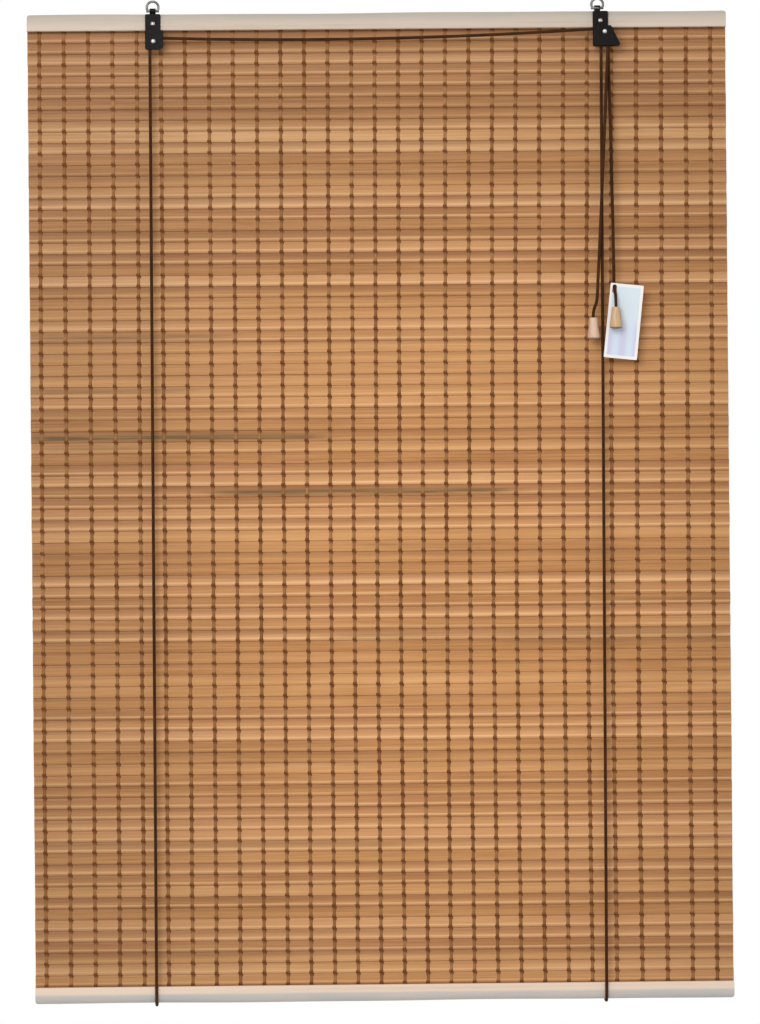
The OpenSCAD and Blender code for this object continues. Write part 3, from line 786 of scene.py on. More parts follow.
lines = result(tree, "GeometryNodeMeshLine", sockets)
sockets = {"Points": lines, "Instance": both.outputs[0]}
whole = result(tree, "GeometryNodeInstanceOnPoints", sockets)
whole = result(tree, "GeometryNodeRealizeInstances", {"Geometry": whole})
across = calc(tree, "COSINE", times(tree, calc(tree, "SUBTRACT", at["X"], DRIFT_FROM), DRIFT_WAVE))
across = times_plus(tree, across, DRIFT_SWING, -DRIFT_MEAN)
fading = ramp_between(tree, at["X"], DRIFT_FADES, DRIFT_ENDS, 1.0, DRIFT_LEFT_OVER)
free = calc(tree, "SINE", times(tree, calc(tree, "DIVIDE", down, length), DRIFT_ARCH))
free = times_plus(tree, free, FREE_SHARE, HELD_SHARE)
whole = moved(tree, whole, vector(tree, X=times(tree, times(tree, across, fading), free)))
whole = noise_offset(tree, whole, UNEVEN_OWN, UNEVEN_SCALE, UNEVEN_WIDE, 0.0, UNEVEN_HIGH)
end_group(tree, whole, given["Finish"])

# %% The warps, in two halves
FIRST_LINE = -LINE_PITCH * (LINE_COUNT - 1) / 2
LEFT_LINES = 15
warps = []
for name, skipped, lines_here in (
        ("warps_left", 0, LEFT_LINES), ("warps_right", LEFT_LINES, LINE_COUNT - LEFT_LINES)):
    mesh = grow(name, warp_tree, {
        "Lines": lines_here, "Line pitch": LINE_PITCH, "First line": FIRST_LINE + skipped * LINE_PITCH,
        "Slats": SLAT_COUNT, "Slat pitch": SLAT_PITCH, "Top": mat_high.z, "Depth": middle_y,
        "Half width": TWINE_HALF, "Half depth": TWINE_DEPTH, "Yarn radius": YARN_R, "Finish": twine})
    warps.append(piece_from(name, mesh, twine, "head"))
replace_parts(warps[0], "warp_threads")
print("warps:", [len(w.data.polygons) for w in warps], "faces")

# %% The mat pieces get their own meshes
for soft in [slats, *warps]:
    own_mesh(soft)

# %% [markdown]
# ## Finish: pale rail wood
# The rails are a light, unvarnished softwood. Long growth lines run along them, a little darker than the
# rest, with short pores between. The outer half of each rail is painted slightly grey in patches: painted
# shade where the face curves back.

# %% Finish: pale rail wood
def rail_wood(name, light, dark, outer, inner_z, outer_z):
    made, tree, shader = finish_named(name)
    spot = object_place(tree)
    growth = grain(tree, (3.2, 260, 330), 3, 0.55, spot)
    pores = grain(tree, (45, 1500, 1700), 2, 0.6, spot)
    shade_patches = grain(tree, (9, 30, 60), 3, 0.6, spot)
    value = weighed(tree, 0.0, (pores, 0.30), (growth, 0.75))
    wood = colours(tree, value, [(0.28, dark), (0.52, light), (0.85, light)])
    # Painted shade: the outer half of the rail, where the face curves back, is greyed in noisy patches.
    rail_shade = ramp_between(tree, split(tree, spot)["Z"], inner_z, outer_z)
    rail_shade = times(tree, rail_shade, ramp_between(tree, shade_patches, 0.2, 0.7, 0.55, 1.0))
    wood = blend_colour(tree, rail_shade, wood, outer)
    rough = ramp_between(tree, pores, 0.2, 0.8, 0.72, 0.52)
    surface(tree, shader, wood, rough, 0.3, plus(tree, growth, pores), 0.18 * MM, 0.6)
    return made


head_low, head_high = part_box("head_front_strip")
foot_low, foot_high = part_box("foot_front_strip")
head_wood = rail_wood(
    "head_rail_wood", linear(210, 193, 177), linear(194, 175, 155), linear(183, 175, 163),
    head_low.z + 3 * MM, head_high.z - 2 * MM)
foot_wood = rail_wood(
    "bottom_rail_wood", linear(236, 212, 191), linear(223, 196, 172), linear(192, 190, 187),
    foot_high.z - 5 * MM, foot_low.z + 6 * MM)
print("finishes:", head_wood.name, foot_wood.name)

# %% [markdown]
# ## The rails
# Each rail is two strips, clamped on the mat. The face is flat by the mat and curves back in one long
# round to the outer edge, so the outer half of the rail takes less light. A section is drawn as points
# and lofted along the rail, with rounded outer corners and a slight waver, since the strips are planed
# by hand.

# %% The rails
RAIL_H = 14.0 * MM
STRIP_T = 5.0 * MM
ROUND_H = 7.0 * MM
ROUND_D = 3.0 * MM
EDGE_R = 0.8 * MM
ROUND_R = (ROUND_H ** 2 + ROUND_D ** 2) / (2 * ROUND_D)
RAIL_CUTS = 48
FACE_STEPS = 10
EDGE_STEPS = 4
CORNER_R = 2.2 * MM
CORNER_STEPS = (0.0, 0.15, 0.4, 0.8, 1.4, 2.2)
LONG_WAVER = 0.26 * MM
LONG_WAVE = 19.1
SHORT_WAVER = 0.14 * MM
SHORT_WAVE = 43.7


def strip_section():
    sweep = math.degrees(math.asin(ROUND_H / ROUND_R))
    face = arc((ROUND_R, RAIL_H - ROUND_H), ROUND_R, 180, 180 - sweep, FACE_STEPS)
    inner_top = arc((STRIP_T - EDGE_R, RAIL_H - EDGE_R), EDGE_R, 90, 0, EDGE_STEPS)
    inner_foot = arc((STRIP_T - EDGE_R, EDGE_R), EDGE_R, 0, -90, EDGE_STEPS)
    outer_foot = arc((EDGE_R, EDGE_R), EDGE_R, 270, 180, EDGE_STEPS)
    return face + inner_top + inner_foot + outer_foot


def strip_mesh(name, node, back, hangs):
    low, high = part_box(node)
    section = strip_section()
    ends = [low.x + e * MM for e in CORNER_STEPS]
    span = high.x - low.x
    stations = ends + [low.x + span * i / RAIL_CUTS for i in range(1, RAIL_CUTS)]
    stations += [high.x + low.x - x for x in reversed(ends)]
    points = []
    for x in stations:
        edge = max(0.0, CORNER_R - min(x - low.x, high.x - x))
        keep = math.sqrt(max(0.0, CORNER_R ** 2 - edge ** 2)) / CORNER_R
        waver = LONG_WAVER * math.sin(x * LONG_WAVE + 2 * back + 3 * hangs)
        waver += SHORT_WAVER * math.sin(x * SHORT_WAVE + hangs)
        for u, v in section:
            past = max(0.0, v - (RAIL_H - CORNER_R))
            y = high.y - u if back else low.y + u
            v = v - past * (1 - keep) + waver * v / RAIL_H
            points.append((x, y, high.z - v if hangs else low.z + v))
    count = len(section)
    last = (len(stations) - 1) * count
    caps = [tuple(range(count)), tuple(range(last, last + count))]
    return outward(mesh_from(name, points, loft(len(stations), count) + caps))


for hangs, body, finish in ((0, "head", head_wood), (1, "foot", foot_wood)):
    for back, face in enumerate(("front", "back")):
        node = f"{body}_{face}_strip"
        mesh = strip_mesh("wood_" + node, node, back, hangs)
        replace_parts(piece_from("wood_" + node, mesh, finish, body, flat_faces=True), node)
print("rails: 2 strips each, of", RAIL_H / MM, "by", STRIP_T / MM, "mm")

# %% [markdown]
# ## Finishes: metal
# The brackets are stamped from sheet steel and painted black; the paint is thin, so it shines a little
# and wears in places. Screws, rivets and brads are bright zinc, the rings are dull nickel wire, and the
# roller is a yellowish alloy. The wheels beside them are dark moulded plastic.

# %% Finishes: metal
def metal(name, light, dark, rough_low, rough_high, scale):
    made, tree, shader = finish_named(name)
    cloudy = grain(tree, (scale, scale, scale), 3, 0.6)
    brushed = grain(tree, (scale * 8, scale * 8, scale * 8), 2, 0.6)
    value = weighed(tree, 0.0, (brushed, 0.3), (cloudy, 0.7))
    rough = ramp_between(tree, value, 0.3, 0.7, rough_high, rough_low)
    shader.inputs["Metallic"].default_value = 1.0
    surface(tree, shader, two_tone(tree, value, dark, light), rough, 0.5, brushed, 0.04 * MM, 0.5)
    return made


zinc = metal("bright_zinc", linear(226, 226, 222), linear(172, 172, 170), 0.22, 0.42, 500)
nickel = metal("dull_nickel", linear(132, 132, 130), linear(84, 84, 84), 0.28, 0.50, 400)
alloy = metal("roller_alloy", linear(186, 172, 138), linear(122, 110, 84), 0.30, 0.50, 400)

black_paint, tree, shader = finish_named("black_paint")
cloudy = grain(tree, (160, 160, 160), 3, 0.6)
pitted = grain(tree, (1500, 1500, 1500), 2, 0.5)
scuffed = ramp_between(tree, grain(tree, (420, 420, 240), 4, 0.7), 0.66, 0.80)
paint = two_tone(tree, cloudy, linear(6, 4, 4), linear(20, 14, 14))
paint = blend_colour(tree, times(tree, scuffed, 0.25), paint, linear(80, 74, 74))
surface(tree, shader, paint, ramp_between(tree, cloudy, 0.3, 0.7, 0.36, 0.52), 0.11, pitted, 0.06 * MM, 0.6)

wheel_plastic, tree, shader = finish_named("moulded_plastic")
cloudy = grain(tree, (600, 600, 600), 3, 0.6)
tone = two_tone(tree, cloudy, linear(50, 46, 44), linear(82, 77, 73))
surface(tree, shader, tone, ramp_between(tree, cloudy, 0.3, 0.7, 0.38, 0.55))
print("metals, paint and plastic ready")

# %% [markdown]
# ## The brackets and the roller
# The brackets are folded from sheet steel, and the lock's roller is a small fluted bar. Their solids
# already have the true form, so they only take a finish.

# %% The brackets and the roller
def painted(node, finish):
    shown = frame["nodes"][node].data
    shown.materials.clear()
    shown.materials.append(finish)
    return len(shown.polygons)


for node, finish in (("left_bracket", black_paint), ("lock_bracket", black_paint), ("lock_roller", alloy)):
    print(node, "keeps its", painted(node, finish), "faces")

# %% [markdown]
# ## Turned metal: wheels, axle rivets and screws
# These are all turned forms, so each is a profile of radii and heights swept about its axis. The screws
# also get a cross recess, pressed into the dome of the head.

# %% Turned metal
def centre_of(node):
    low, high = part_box(node)
    return (low + high) / 2


def domed(radius, rise, steps=6):
    ball = (radius ** 2 + rise ** 2) / (2 * rise)
    reach = math.degrees(math.asin(radius / ball))
    return [(r, -(z - (ball - rise))) for z, r in arc((0, 0), ball, 0, reach, steps)]


ALONG_Y = (0, 1, 0)
WHEEL_R = 4.4 * MM
TURN_R = 2.95 * MM
GROOVE_R = 1.45 * MM
BORE_R = 1.05 * MM
WHEEL_W = 3.5 * MM
RIM_EDGE = 0.15 * MM
GROOVE_STEPS = 10
WHEEL_SIDES = 48


def wheel_profile():
    rim = WHEEL_W / 2
    groove = arc((TURN_R, 0), GROOVE_R, 270, 90, GROOVE_STEPS)
    lower = [(BORE_R, -rim), (WHEEL_R - RIM_EDGE, -rim), (WHEEL_R, -rim + RIM_EDGE), (WHEEL_R, -GROOVE_R)]
    upper = [(WHEEL_R, GROOVE_R), (WHEEL_R, rim - RIM_EDGE), (WHEEL_R - RIM_EDGE, rim), (BORE_R, rim)]
    return lower + groove + upper + [(BORE_R, -rim)]


for node in ("left_wheel", "lock_front_wheel", "lock_rear_wheel"):
    mesh = turned_mesh("turned_" + node, wheel_profile(), centre_of(node), ALONG_Y, WHEEL_SIDES)
    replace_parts(piece_from("turned_" + node, mesh, wheel_plastic, node), node)

HEAD_R = 1.9 * MM
HEAD_RISE = 1.0 * MM
AXLE_R = 1.0 * MM
TAIL_R = 1.6 * MM
TAIL_T = 0.4 * MM
TAIL_EDGE = 0.1 * MM
RIVET_SIDES = 32
for node in ("left_axle", "lock_axle"):
    low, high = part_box(node)
    at = Vector((centre_of(node).x, low.y + HEAD_RISE, centre_of(node).z))
    reach = high.y - at.y
    profile = domed(HEAD_R, HEAD_RISE) + [(AXLE_R, 0), (AXLE_R, reach - TAIL_T), (TAIL_R, reach - TAIL_T)]
    profile += [(TAIL_R, reach - TAIL_EDGE), (TAIL_R - TAIL_EDGE, reach), (0, reach)]
    mesh = turned_mesh("rivet_" + node, profile, at, ALONG_Y, RIVET_SIDES)
    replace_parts(piece_from("rivet_" + node, mesh, zinc, "head"), node)

low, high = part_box("bracket_screws")
RECESS_HALF = 0.28 * MM
RECESS_REACH = 1.15 * MM
RECESS_DEEP = 0.65 * MM
SCREW_RINGS = 16
SCREW_SIDES = 64
screw_parts = bmesh.new()
for side in (-1, 1):
    at = Vector((side * (high.x - HEAD_R), low.y + HEAD_RISE, centre_of("bracket_screws").z))
    reach = high.y - at.y
    profile = domed(HEAD_R, HEAD_RISE, SCREW_RINGS) + [(AXLE_R, 0), (AXLE_R, reach), (0, reach)]
    mesh = turned_mesh("screw", profile, at, ALONG_Y, SCREW_SIDES)
    for v in mesh.vertices:
        near, far = sorted((abs(v.co.x - at.x), abs(v.co.z - at.z)))
        if near < RECESS_HALF and far < RECESS_REACH and v.co.y < at.y:
            v.co.y += RECESS_DEEP
    screw_parts.from_mesh(mesh)
mesh = from_parts("cross_screws", screw_parts)
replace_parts(piece_from("cross_screws", mesh, zinc, "head"), "bracket_screws")
print("turned: 3 wheels, 2 rivets, 2 screws")

# %% [markdown]
# ## The brads
# Small brads hold each rail's strips together from the back. Eight sit along each rail, so one tree puts
# a domed brad at each of the places it is given, and it grows once for each rail.

# %% The brads
BRAD_R = 1.2 * MM
BRAD_RISE = 0.25 * MM
BRAD_T = 0.4 * MM
STEM_R = 0.6 * MM
STEM_L = 3.0 * MM
BRAD_RINGS = 5
BRAD_SIDES = 20
BRAD_AT = (30.9, 113.3, 175.1, 257.5)

sockets = [("Places", "Object"), ("Brad", "Object"), ("Finish", "Material")]
brad_tree, given = group_of("drive_brads", sockets)
places, brad = [put(brad_tree, "GeometryNodeObjectInfo", {"Object": given[name]}).outputs["Geometry"]
                for name in ("Places", "Brad")]
driven = result(brad_tree, "GeometryNodeInstanceOnPoints", {"Points": places, "Instance": brad})
end_group(brad_tree, driven, given["Finish"])
profile = [(r, -h) for r, h in domed(BRAD_R, BRAD_RISE, BRAD_RINGS)]
profile += [(BRAD_R, -BRAD_T), (STEM_R, -BRAD_T), (STEM_R, -STEM_L), (0, -STEM_L)]
one_brad = in_scene("one_brad", turned_mesh("one_brad", profile, (0, 0, 0), ALONG_Y, BRAD_SIDES))
for node, body in (("head_brads", "head"), ("foot_brads", "foot")):
    low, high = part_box(node)
    row = [(side * x * MM, high.y, (low.z + high.z) / 2) for x in BRAD_AT for side in (-1, 1)]
    spots = in_scene("brad_places", mesh_from("brad_places", row, []))
    name = "driven_" + node
    mesh = grow(name, brad_tree, {"Places": spots, "Brad": one_brad, "Finish": zinc})
    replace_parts(piece_from(name, mesh, zinc, body), node)
    bpy.data.objects.remove(spots)
bpy.data.objects.remove(one_brad)
print("brads:", 2 * len(BRAD_AT), "in each rail")

# %% [markdown]
# ## The hanging rings
# Each ring is one bow of nickel wire, standing on a short bar that turns in the bracket's knuckle. Both
# are tubes along a route, joined in one mesh.

# %% The hanging rings
WIRE_R = 1.05 * MM
BAR_R = 1.2 * MM
BOW_R = 5.0 * MM
BOW_FEET = 7.8 * MM
BAR_L = 11.0 * MM
BAR_END = ((0.0, 0.7), (0.1, 0.88), (0.3, 1.0))
BOW_STEPS = 48
WIRE_SIDES = 16


def ring_mesh(name, node):
    x, y, _ = centre_of(node)
    rise = math.sqrt(BOW_R ** 2 - BOW_FEET ** 2 / 4)
    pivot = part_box(node)[1].z - rise - BOW_R - WIRE_R
    dip = math.degrees(math.asin(rise / BOW_R))
    bow = [(x + u, y, pivot + rise + w) for u, w in arc((0, 0), BOW_R, -dip, 180 + dip, BOW_STEPS)]
    end = [(e * MM - BAR_L / 2, share) for e, share in BAR_END]
    bar = end + [(-stop, share) for stop, share in reversed(end)]
    both = bmesh.new()
    both.from_mesh(tube_mesh(name, bow, WIRE_R, WIRE_SIDES))
    route = [(x + stop, y, pivot) for stop, share in bar]
    both.from_mesh(tube_mesh(name, route, BAR_R, WIRE_SIDES, [share for stop, share in bar]))
    return outward(from_parts(name, both))


for node in ("left_ring", "right_ring"):
    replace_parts(piece_from("wire_" + node, ring_mesh("wire_" + node, node), nickel, node), node)
print("rings: bow of", BOW_R / MM, "mm, wire of", 2 * WIRE_R / MM, "mm")

# %% [markdown]
# ## Finish: braided cord
# The cord is a dark brown round braid. On the tube's UV map, one turn across and metres along, two sets
# of slanting waves cross each other, which gives the plaited strands their colour and their relief.

# %% Finish: braided cord
STRANDS = 6.0
BRAID_REPEAT = 420.0
braid, tree, shader = finish_named("braided_cord")
parts = split(tree, result(tree, "ShaderNodeUVMap", uv_map="along_cord"))
around = times(tree, parts["X"], STRANDS * 2 * math.pi)
along_it = times(tree, parts["Y"], BRAID_REPEAT * 2 * math.pi)
one_way = calc(tree, "SINE", plus(tree, around, along_it))
other_way = calc(tree, "SINE", calc(tree, "SUBTRACT", around, along_it))
plait = times_plus(tree, calc(tree, "MAXIMUM", one_way, other_way), 0.5, 0.5)
worn = grain(tree, (90, 90, 40), 2)
value = weighed(tree, 0.0, (plait, 0.5), (worn, 0.5))
dye = colours(tree, value, [
    (0.2, linear(24, 12, 5)), (0.55, linear(54, 30, 12)), (0.9, linear(90, 55, 25))])
surface(tree, shader, dye, 0.75, 0.12, plait, 0.25 * MM, 0.8)
print("finish:", braid.name)

# %% [markdown]
# ## The cords
# There are two cords. Each starts in the head rail's back strip, runs down behind the mat, under the
# bottom rail and up the front to its wheel. The left one then crosses to the lock, and both hang from the
# lock's wheels as free pull cords. The routes are those of the solids. The lower part of a back run
# hangs straight, to stay clear of the rising rail. The loops under the rail ride with it, and the free
# ends stretch from the lock to the pulls.

# %% The routes
CORD_R = 1.35 * MM
LOOP_R = 5.75 * MM
LOOP_RISE = 4.0 * MM
left_axle = centre_of("left_wheel")
front_axle = centre_of("lock_front_wheel")
rear_axle = centre_of("lock_rear_wheel")


def wheel_turn(axle, start, stop, steps):
    return [Vector((x, axle.y, z)) for x, z in arc((axle.x, axle.z), TURN_R, start, stop, steps)]


def top_of(node):
    return Vector((*centre_of(node).xy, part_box(node)[1].z))


def drops(start, steps_mm):
    return [start + Vector(step) * MM for step in steps_mm]


LEFT_DROPS = ((0, 0.2, -8), (-0.4, 0.2, -16), (-1.2, 0.15, -32), (-2.3, 0.1, -54), (-3.6, 0.1, -80),
              (-5, 0.05, -108), (-6.4, 0, -136), (-7.8, 0, -164), (-9.2, -0.05, -190), (-10.5, -0.1, -212),
              (-11.6, -0.15, -230))
RIGHT_DROPS = ((0, 0, -8), (0.1, 0, -16), (0.5, -0.1, -34), (1, -0.2, -58), (1.5, -0.35, -84),
               (2, -0.5, -112), (2.5, -0.6, -140), (2.9, -0.7, -166), (3.2, -0.8, -190), (3.4, -0.85, -206))
TAG_PASS = ((-1, 7.45, 19), (-0.8, 7.4, 18.2), (-0.65, 6.7, 16.8), (-0.5, 5.75, 15.2), (-0.35, 4.7, 13.5),
            (-0.2, 3.8, 12), (0, 1.7, 8), (0, 0.5, 5), (0, 0, 2), (0, 0, -14.1))
CROSS_SAG = 4.7 * MM
CROSS_STEPS = 16
IN_PULL = ((0, 0, 4), (0, 0, -14.1))
pull_tops = {side: top_of(side + "_cord_pull") for side in ("left", "right")}
cross_from = left_axle + Vector((0, 0, TURN_R))
cross_to = front_axle + Vector((0, 0, TURN_R))
cross = wheel_turn(left_axle, 180, 105, 8)
for i in range(1, CROSS_STEPS):
    t = i / CROSS_STEPS
    cross.append(cross_from.lerp(cross_to, t) - Vector((0, 0, 4 * CROSS_SAG * t * (1 - t))))
cross += wheel_turn(front_axle, 90, 0, 10)
wrap = wheel_turn(rear_axle, 180, 0, 20)
left_start = front_axle + Vector((TURN_R, 0, 0))
right_start = rear_axle + Vector((TURN_R, 0, 0))
pull_routes = {
    "left": [left_start, *drops(left_start, LEFT_DROPS), *drops(pull_tops["left"], IN_PULL)],
    "right": [right_start, *drops(right_start, RIGHT_DROPS), *drops(pull_tops["right"], TAG_PASS)]}
print("routes: cross", round(route_length(cross), 4), "m, pulls",
      [round(route_length(route), 4) for route in pull_routes.values()], "m")

# %% The held runs of cord
def cord_piece(name, route, step, body, *nodes):
    made = piece_from(name, outward(tube_mesh(name, smooth_route(route, step), CORD_R)), braid, body)
    if nodes:
        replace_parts(made, *nodes)
    return made


CROSS_STEP = 1.2 * MM
WRAP_STEP = 0.6 * MM
RUN_STEP = 12 * MM
LOOP_STEP = 0.8 * MM
LOOP_CUTS = 10
CLEAR_SHARE = 0.2
BELOW_HEAD = 1 * MM
cord_piece("cross_run", cross, CROSS_STEP, "head", "cross_cord")
cord_piece("lock_wrap", wrap, WRAP_STEP, "head")
anchor_y = centre_of("head_back_strip").y
head_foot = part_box("head_back_strip")[0].z
loop_z = foot_low.z + LOOP_RISE
lift_lengths = {}
for side, axle in (("left", left_axle), ("right", rear_axle)):
    low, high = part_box(side + "_under_cord")
    x = (low.x + high.x) / 2
    front_y = low.y + CORD_R
    back_y = high.y - CORD_R

    top = axle - Vector((TURN_R, 0, 0))
    foot_at = Vector((x, front_y, high.z))
    route = [top, top.lerp(foot_at, 0.5), foot_at]
    front = cord_piece(side + "_front_run", route, RUN_STEP, "head", side + "_front_cord")
    length = top.z - foot_at.z
    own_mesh(front)

    back_low = Vector((x, back_y, high.z))
    back_top = Vector((x, anchor_y, head_foot - BELOW_HEAD))
    back_clear = Vector((x, back_y, back_low.z + CLEAR_SHARE * (back_top.z - back_low.z)))
    tied = Vector((x, anchor_y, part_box(side + "_back_cord")[1].z))
    route = [back_low, back_clear, back_clear.lerp(back_top, 0.5), back_top, tied]
    behind = cord_piece(side + "_back_run", route, RUN_STEP, "head", side + "_back_cord")
    length_b = head_foot - back_low.z
    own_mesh(behind)

    under = [(front_y, high.z)] + arc((front_y + LOOP_R, loop_z), LOOP_R, 180, 270, LOOP_CUTS)
    under += arc((back_y - LOOP_R, loop_z), LOOP_R, 270, 360, LOOP_CUTS) + [(back_y, high.z)]
    under = [Vector((x, y, z)) for y, z in under]
    cord_piece(side + "_under_run", under, LOOP_STEP, "foot", side + "_under_cord")
    lift_lengths[side] = [round(v, 4) for v in (length, length_b, route_length(under))]
print("lift runs, front, back and under:", lift_lengths)

# %% [markdown]
# ## Finish and shape: the wooden pulls
# Each pull is turned from light wood, narrow at the top and fuller at the foot, with the cord's knot in a
# small room below. The profile is smooth where the lathe left it, and the grain runs down the pull. The
# left pull is pinker than the right one, and both carry a dark band of painted shade at the foot.

# %% The wooden pulls
BETWEEN_PULLS = (190 * MM, 196 * MM)
pull_wood, tree, shader = finish_named("turned_pull_wood")
growth = grain(tree, (900, 900, 60), 3, 0.55)
rings = grain(tree, (240, 240, 30), 2, 0.5)
value = weighed(tree, 0.0, (rings, 0.55), (growth, 0.45))
pink = colours(tree, value, [
    (0.25, linear(184, 146, 118)), (0.5, linear(216, 180, 154)), (0.8, linear(232, 204, 182))])
tan = colours(tree, value, [
    (0.25, linear(172, 134, 94)), (0.5, linear(204, 168, 126)), (0.8, linear(224, 194, 158))])
to_right = ramp_between(tree, split(tree, object_place(tree))["X"], *BETWEEN_PULLS)
wood = blend_colour(tree, to_right, pink, tan)
# Painted shade: a dark band round the foot of each pull, under its rounded lower edge.
painted_foot_shade = ramp_between(tree, attribute(tree, "pull_down"), 0.90, 0.96, 0.0, 0.75)
wood = blend_colour(tree, painted_foot_shade, wood, linear(104, 74, 52))
rough = ramp_between(tree, growth, 0.2, 0.8, 0.52, 0.36)
surface(tree, shader, wood, rough, 0.5, growth, 0.12 * MM, 0.6)

PULL_H = 18.4 * MM
PULL_SIDES = 48
PULL_OUTLINE = ((2.75, 0.0), (3.15, 0.12), (3.42, 0.40), (3.55, 0.9), (3.62, 2.2), (3.78, 4.2), (4.02, 6.4),
                (4.32, 8.6), (4.66, 10.8), (4.94, 12.8), (5.14, 14.6), (5.24, 16.2), (5.24, 17.2),
                (5.10, 17.8), (4.72, 18.25), (4.20, 18.4), (2.75, 18.4), (2.70, 18.3), (2.70, 14.3),
                (1.55, 14.2), (1.50, 14.0), (1.50, 0.25), (1.75, 0.0), (2.75, 0.0))
for side, at in pull_tops.items():
    node = side + "_cord_pull"
    profile = [(r * MM, h * MM) for r, h in PULL_OUTLINE]
    mesh = turned_mesh("turned_" + node, profile, at, (0, 0, -1), PULL_SIDES)
    add_layer(mesh, "pull_down", [(at.z - v.co.z) / PULL_H for v in mesh.vertices])
    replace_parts(piece_from("turned_" + node, mesh, pull_wood, side + "_pull"), node)

KNOT_R = 0.95 * MM
KNOT_TURN = 1.0 * MM
KNOT_RISE = 0.75 * MM
KNOT_WAVES = 1.5
KNOT_STEPS = 72
KNOT_SIDES = 10
KNOT_ABOVE_FOOT = 2.3 * MM
for side, at in pull_tops.items():
    node = side + "_pull_knot"
    centre = at - Vector((0, 0, PULL_H - KNOT_ABOVE_FOOT))
    loops = []
    for i in range(KNOT_STEPS + 1):
        a = 4 * math.pi * i / KNOT_STEPS
        x, y = KNOT_TURN * math.cos(a), KNOT_TURN * math.sin(a)
        loops.append(centre + Vector((x, y, KNOT_RISE * math.sin(KNOT_WAVES * a))))
    mesh = outward(tube_mesh("tied_" + node, loops, KNOT_R, KNOT_SIDES))
    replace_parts(piece_from("tied_" + node, mesh, braid, side + "_pull"), node)
print("pulls and knots: 2 each")

# %% [markdown]
# ## The card tag
# A plain card hangs on the right cord through a punched slot. It is white at the border, with a faint
# blue and lavender field inside, and carries no words. The card is cut as a grid with a slot, given its
# thickness, and curled a little at its free side.

# %% The card tag
TAG_W = 28.5 * MM
TAG_H = 64.0 * MM
TAG_T = 0.4 * MM
TAG_TILT = math.radians(6)
SLOT_R = 1.95 * MM
SLOT_L = 3.6 * MM
SLOT_X = -TAG_W / 2 + 3.75 * MM
SLOT_Z = TAG_H / 2 - 4.9 * MM
CURL = 1.3 * MM
CURL_FROM = -0.1
CURL_SPAN = 0.6
CURL_ABOVE = 0.35
TAG_CORNER = 0.8 * MM
TAG_CUTS = 10
CORNER_CUTS = 4
SLOT_CUTS = 10
BAND_WAVE = 15.0
card, tree, shader = finish_named("printed_card")
parts = split(tree, result(tree, "ShaderNodeUVMap", uv_map="on_card"))
near_side, near_end = [calc(tree, "MINIMUM", parts[way], calc(tree, "SUBTRACT", 1.0, parts[way]))
                       for way in ("X", "Y")]
inside = times(tree, ramp_between(tree, near_side, 0.06, 0.10), ramp_between(tree, near_end, 0.03, 0.05))
bands = calc(tree, "SINE", times(tree, parts["X"], BAND_WAVE))
field = colours(tree, times_plus(tree, bands, 0.5, 0.5), [
    (0.1, linear(210, 223, 236)), (0.9, linear(205, 204, 228))])
field = blend_colour(tree, ramp_between(tree, parts["Y"], 0.35, 0.60), field, linear(216, 227, 235))
paper = grain(tree, (900, 900, 900), 2)
white = two_tone(tree, paper, linear(238, 236, 234), linear(246, 244, 242))
rough = ramp_between(tree, paper, 0.3, 0.7, 0.42, 0.56)
surface(tree, shader, blend_colour(tree, inside, white, field), rough, 0.5, paper, 0.03 * MM, 0.5)


def slot_outline():
    top = arc((SLOT_X, SLOT_Z + SLOT_L / 2), SLOT_R, 0, 180, SLOT_CUTS)
    foot = arc((SLOT_X, SLOT_Z - SLOT_L / 2), SLOT_R, 180, 360, SLOT_CUTS)
    return top + foot


def card_outline():
    w, h = TAG_W / 2 - TAG_CORNER, TAG_H / 2 - TAG_CORNER
    made = []
    for x, z, start in ((w, h, 0), (-w, h, 90), (-w, -h, 180), (w, -h, 270)):
        made += arc((x, z), TAG_CORNER, start, start + 90, CORNER_CUTS)
    return made


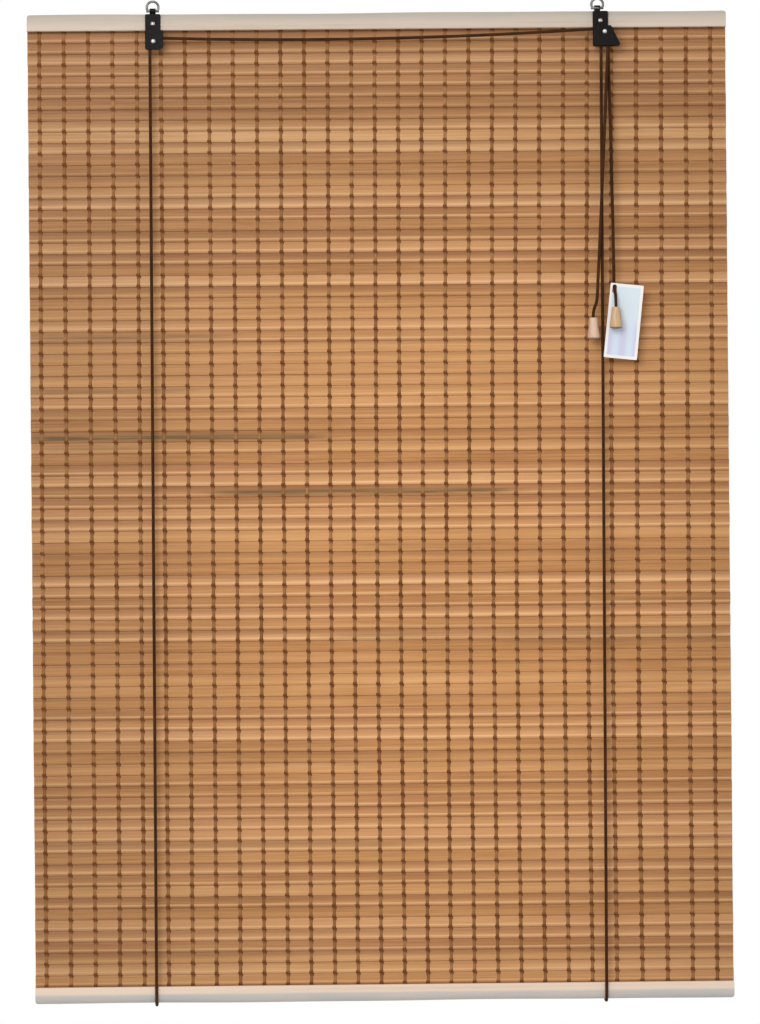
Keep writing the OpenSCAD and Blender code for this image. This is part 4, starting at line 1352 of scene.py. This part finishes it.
sheet = bmesh.new()
rims = []
for outline in (card_outline(), slot_outline()):
    corners = [sheet.verts.new((x, 0, z)) for x, z in outline]
    rims += [sheet.edges.new((a, b)) for a, b in zip(corners, corners[1:] + corners[:1])]
bmesh.ops.triangle_fill(sheet, edges=rims, use_beauty=True)
for axis, size in (((1, 0, 0), TAG_W), ((0, 0, 1), TAG_H)):
    for i in range(1, TAG_CUTS):
        at = Vector(axis) * (size * (i / TAG_CUTS - 0.5))
        every = sheet.verts[:] + sheet.edges[:] + sheet.faces[:]
        bmesh.ops.bisect_plane(sheet, geom=every, plane_co=at, plane_no=axis, dist=MERGE_WITHIN)
mesh = from_parts("plain_tag", sheet)
uv = mesh.uv_layers.new(name="on_card")
for loop in mesh.loops:
    co = mesh.vertices[loop.vertex_index].co
    uv.data[loop.index].uv = (co.x / TAG_W + 0.5, co.z / TAG_H + 0.5)
for v in mesh.vertices:
    free = max(0.0, v.co.x / TAG_W - CURL_FROM) / CURL_SPAN
    low_end = max(0.0, -v.co.z / TAG_H) * 2
    v.co.y -= CURL * free * free * (CURL_ABOVE + (1 - CURL_ABOVE) * low_end)
mesh.transform(Matrix.Translation(centre_of("hang_tag")) @ Matrix.Rotation(TAG_TILT, 4, "Y"))
holder = in_scene("tag_holder", mesh)
thick = holder.modifiers.new("Card", "SOLIDIFY")
thick.thickness = TAG_T
thick.offset = 0
tag = piece_from("plain_tag", applied(holder, "plain_tag"), card, "right_pull", flat_faces=True)
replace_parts(tag, "hang_tag")
print("tag:", len(tag.data.polygons), "faces")

# %% [markdown]
# ## The free pull cords
# From the lock down, each cord hangs free and ends in a knot inside its pull. The length of each run is
# printed.

# %% The free pull cords
CORD_STEP = 2.0 * MM
free_lengths = {}
for side, at in pull_tops.items():
    path = smooth_route(pull_routes[side], CORD_STEP)
    name = side + "_pull_run"
    made = piece_from(name, outward(tube_mesh(name, path, CORD_R)), braid)
    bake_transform(made)
    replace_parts(made, side + "_pull_cord")
    free_lengths[side] = round(route_length(path), 4)
print("free cords:", free_lengths, "m")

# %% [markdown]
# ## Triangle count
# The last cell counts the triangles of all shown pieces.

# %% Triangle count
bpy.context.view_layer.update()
total = sum(len(face.vertices) - 2 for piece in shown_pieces() for face in piece.data.polygons)
print("triangles in all:", total)
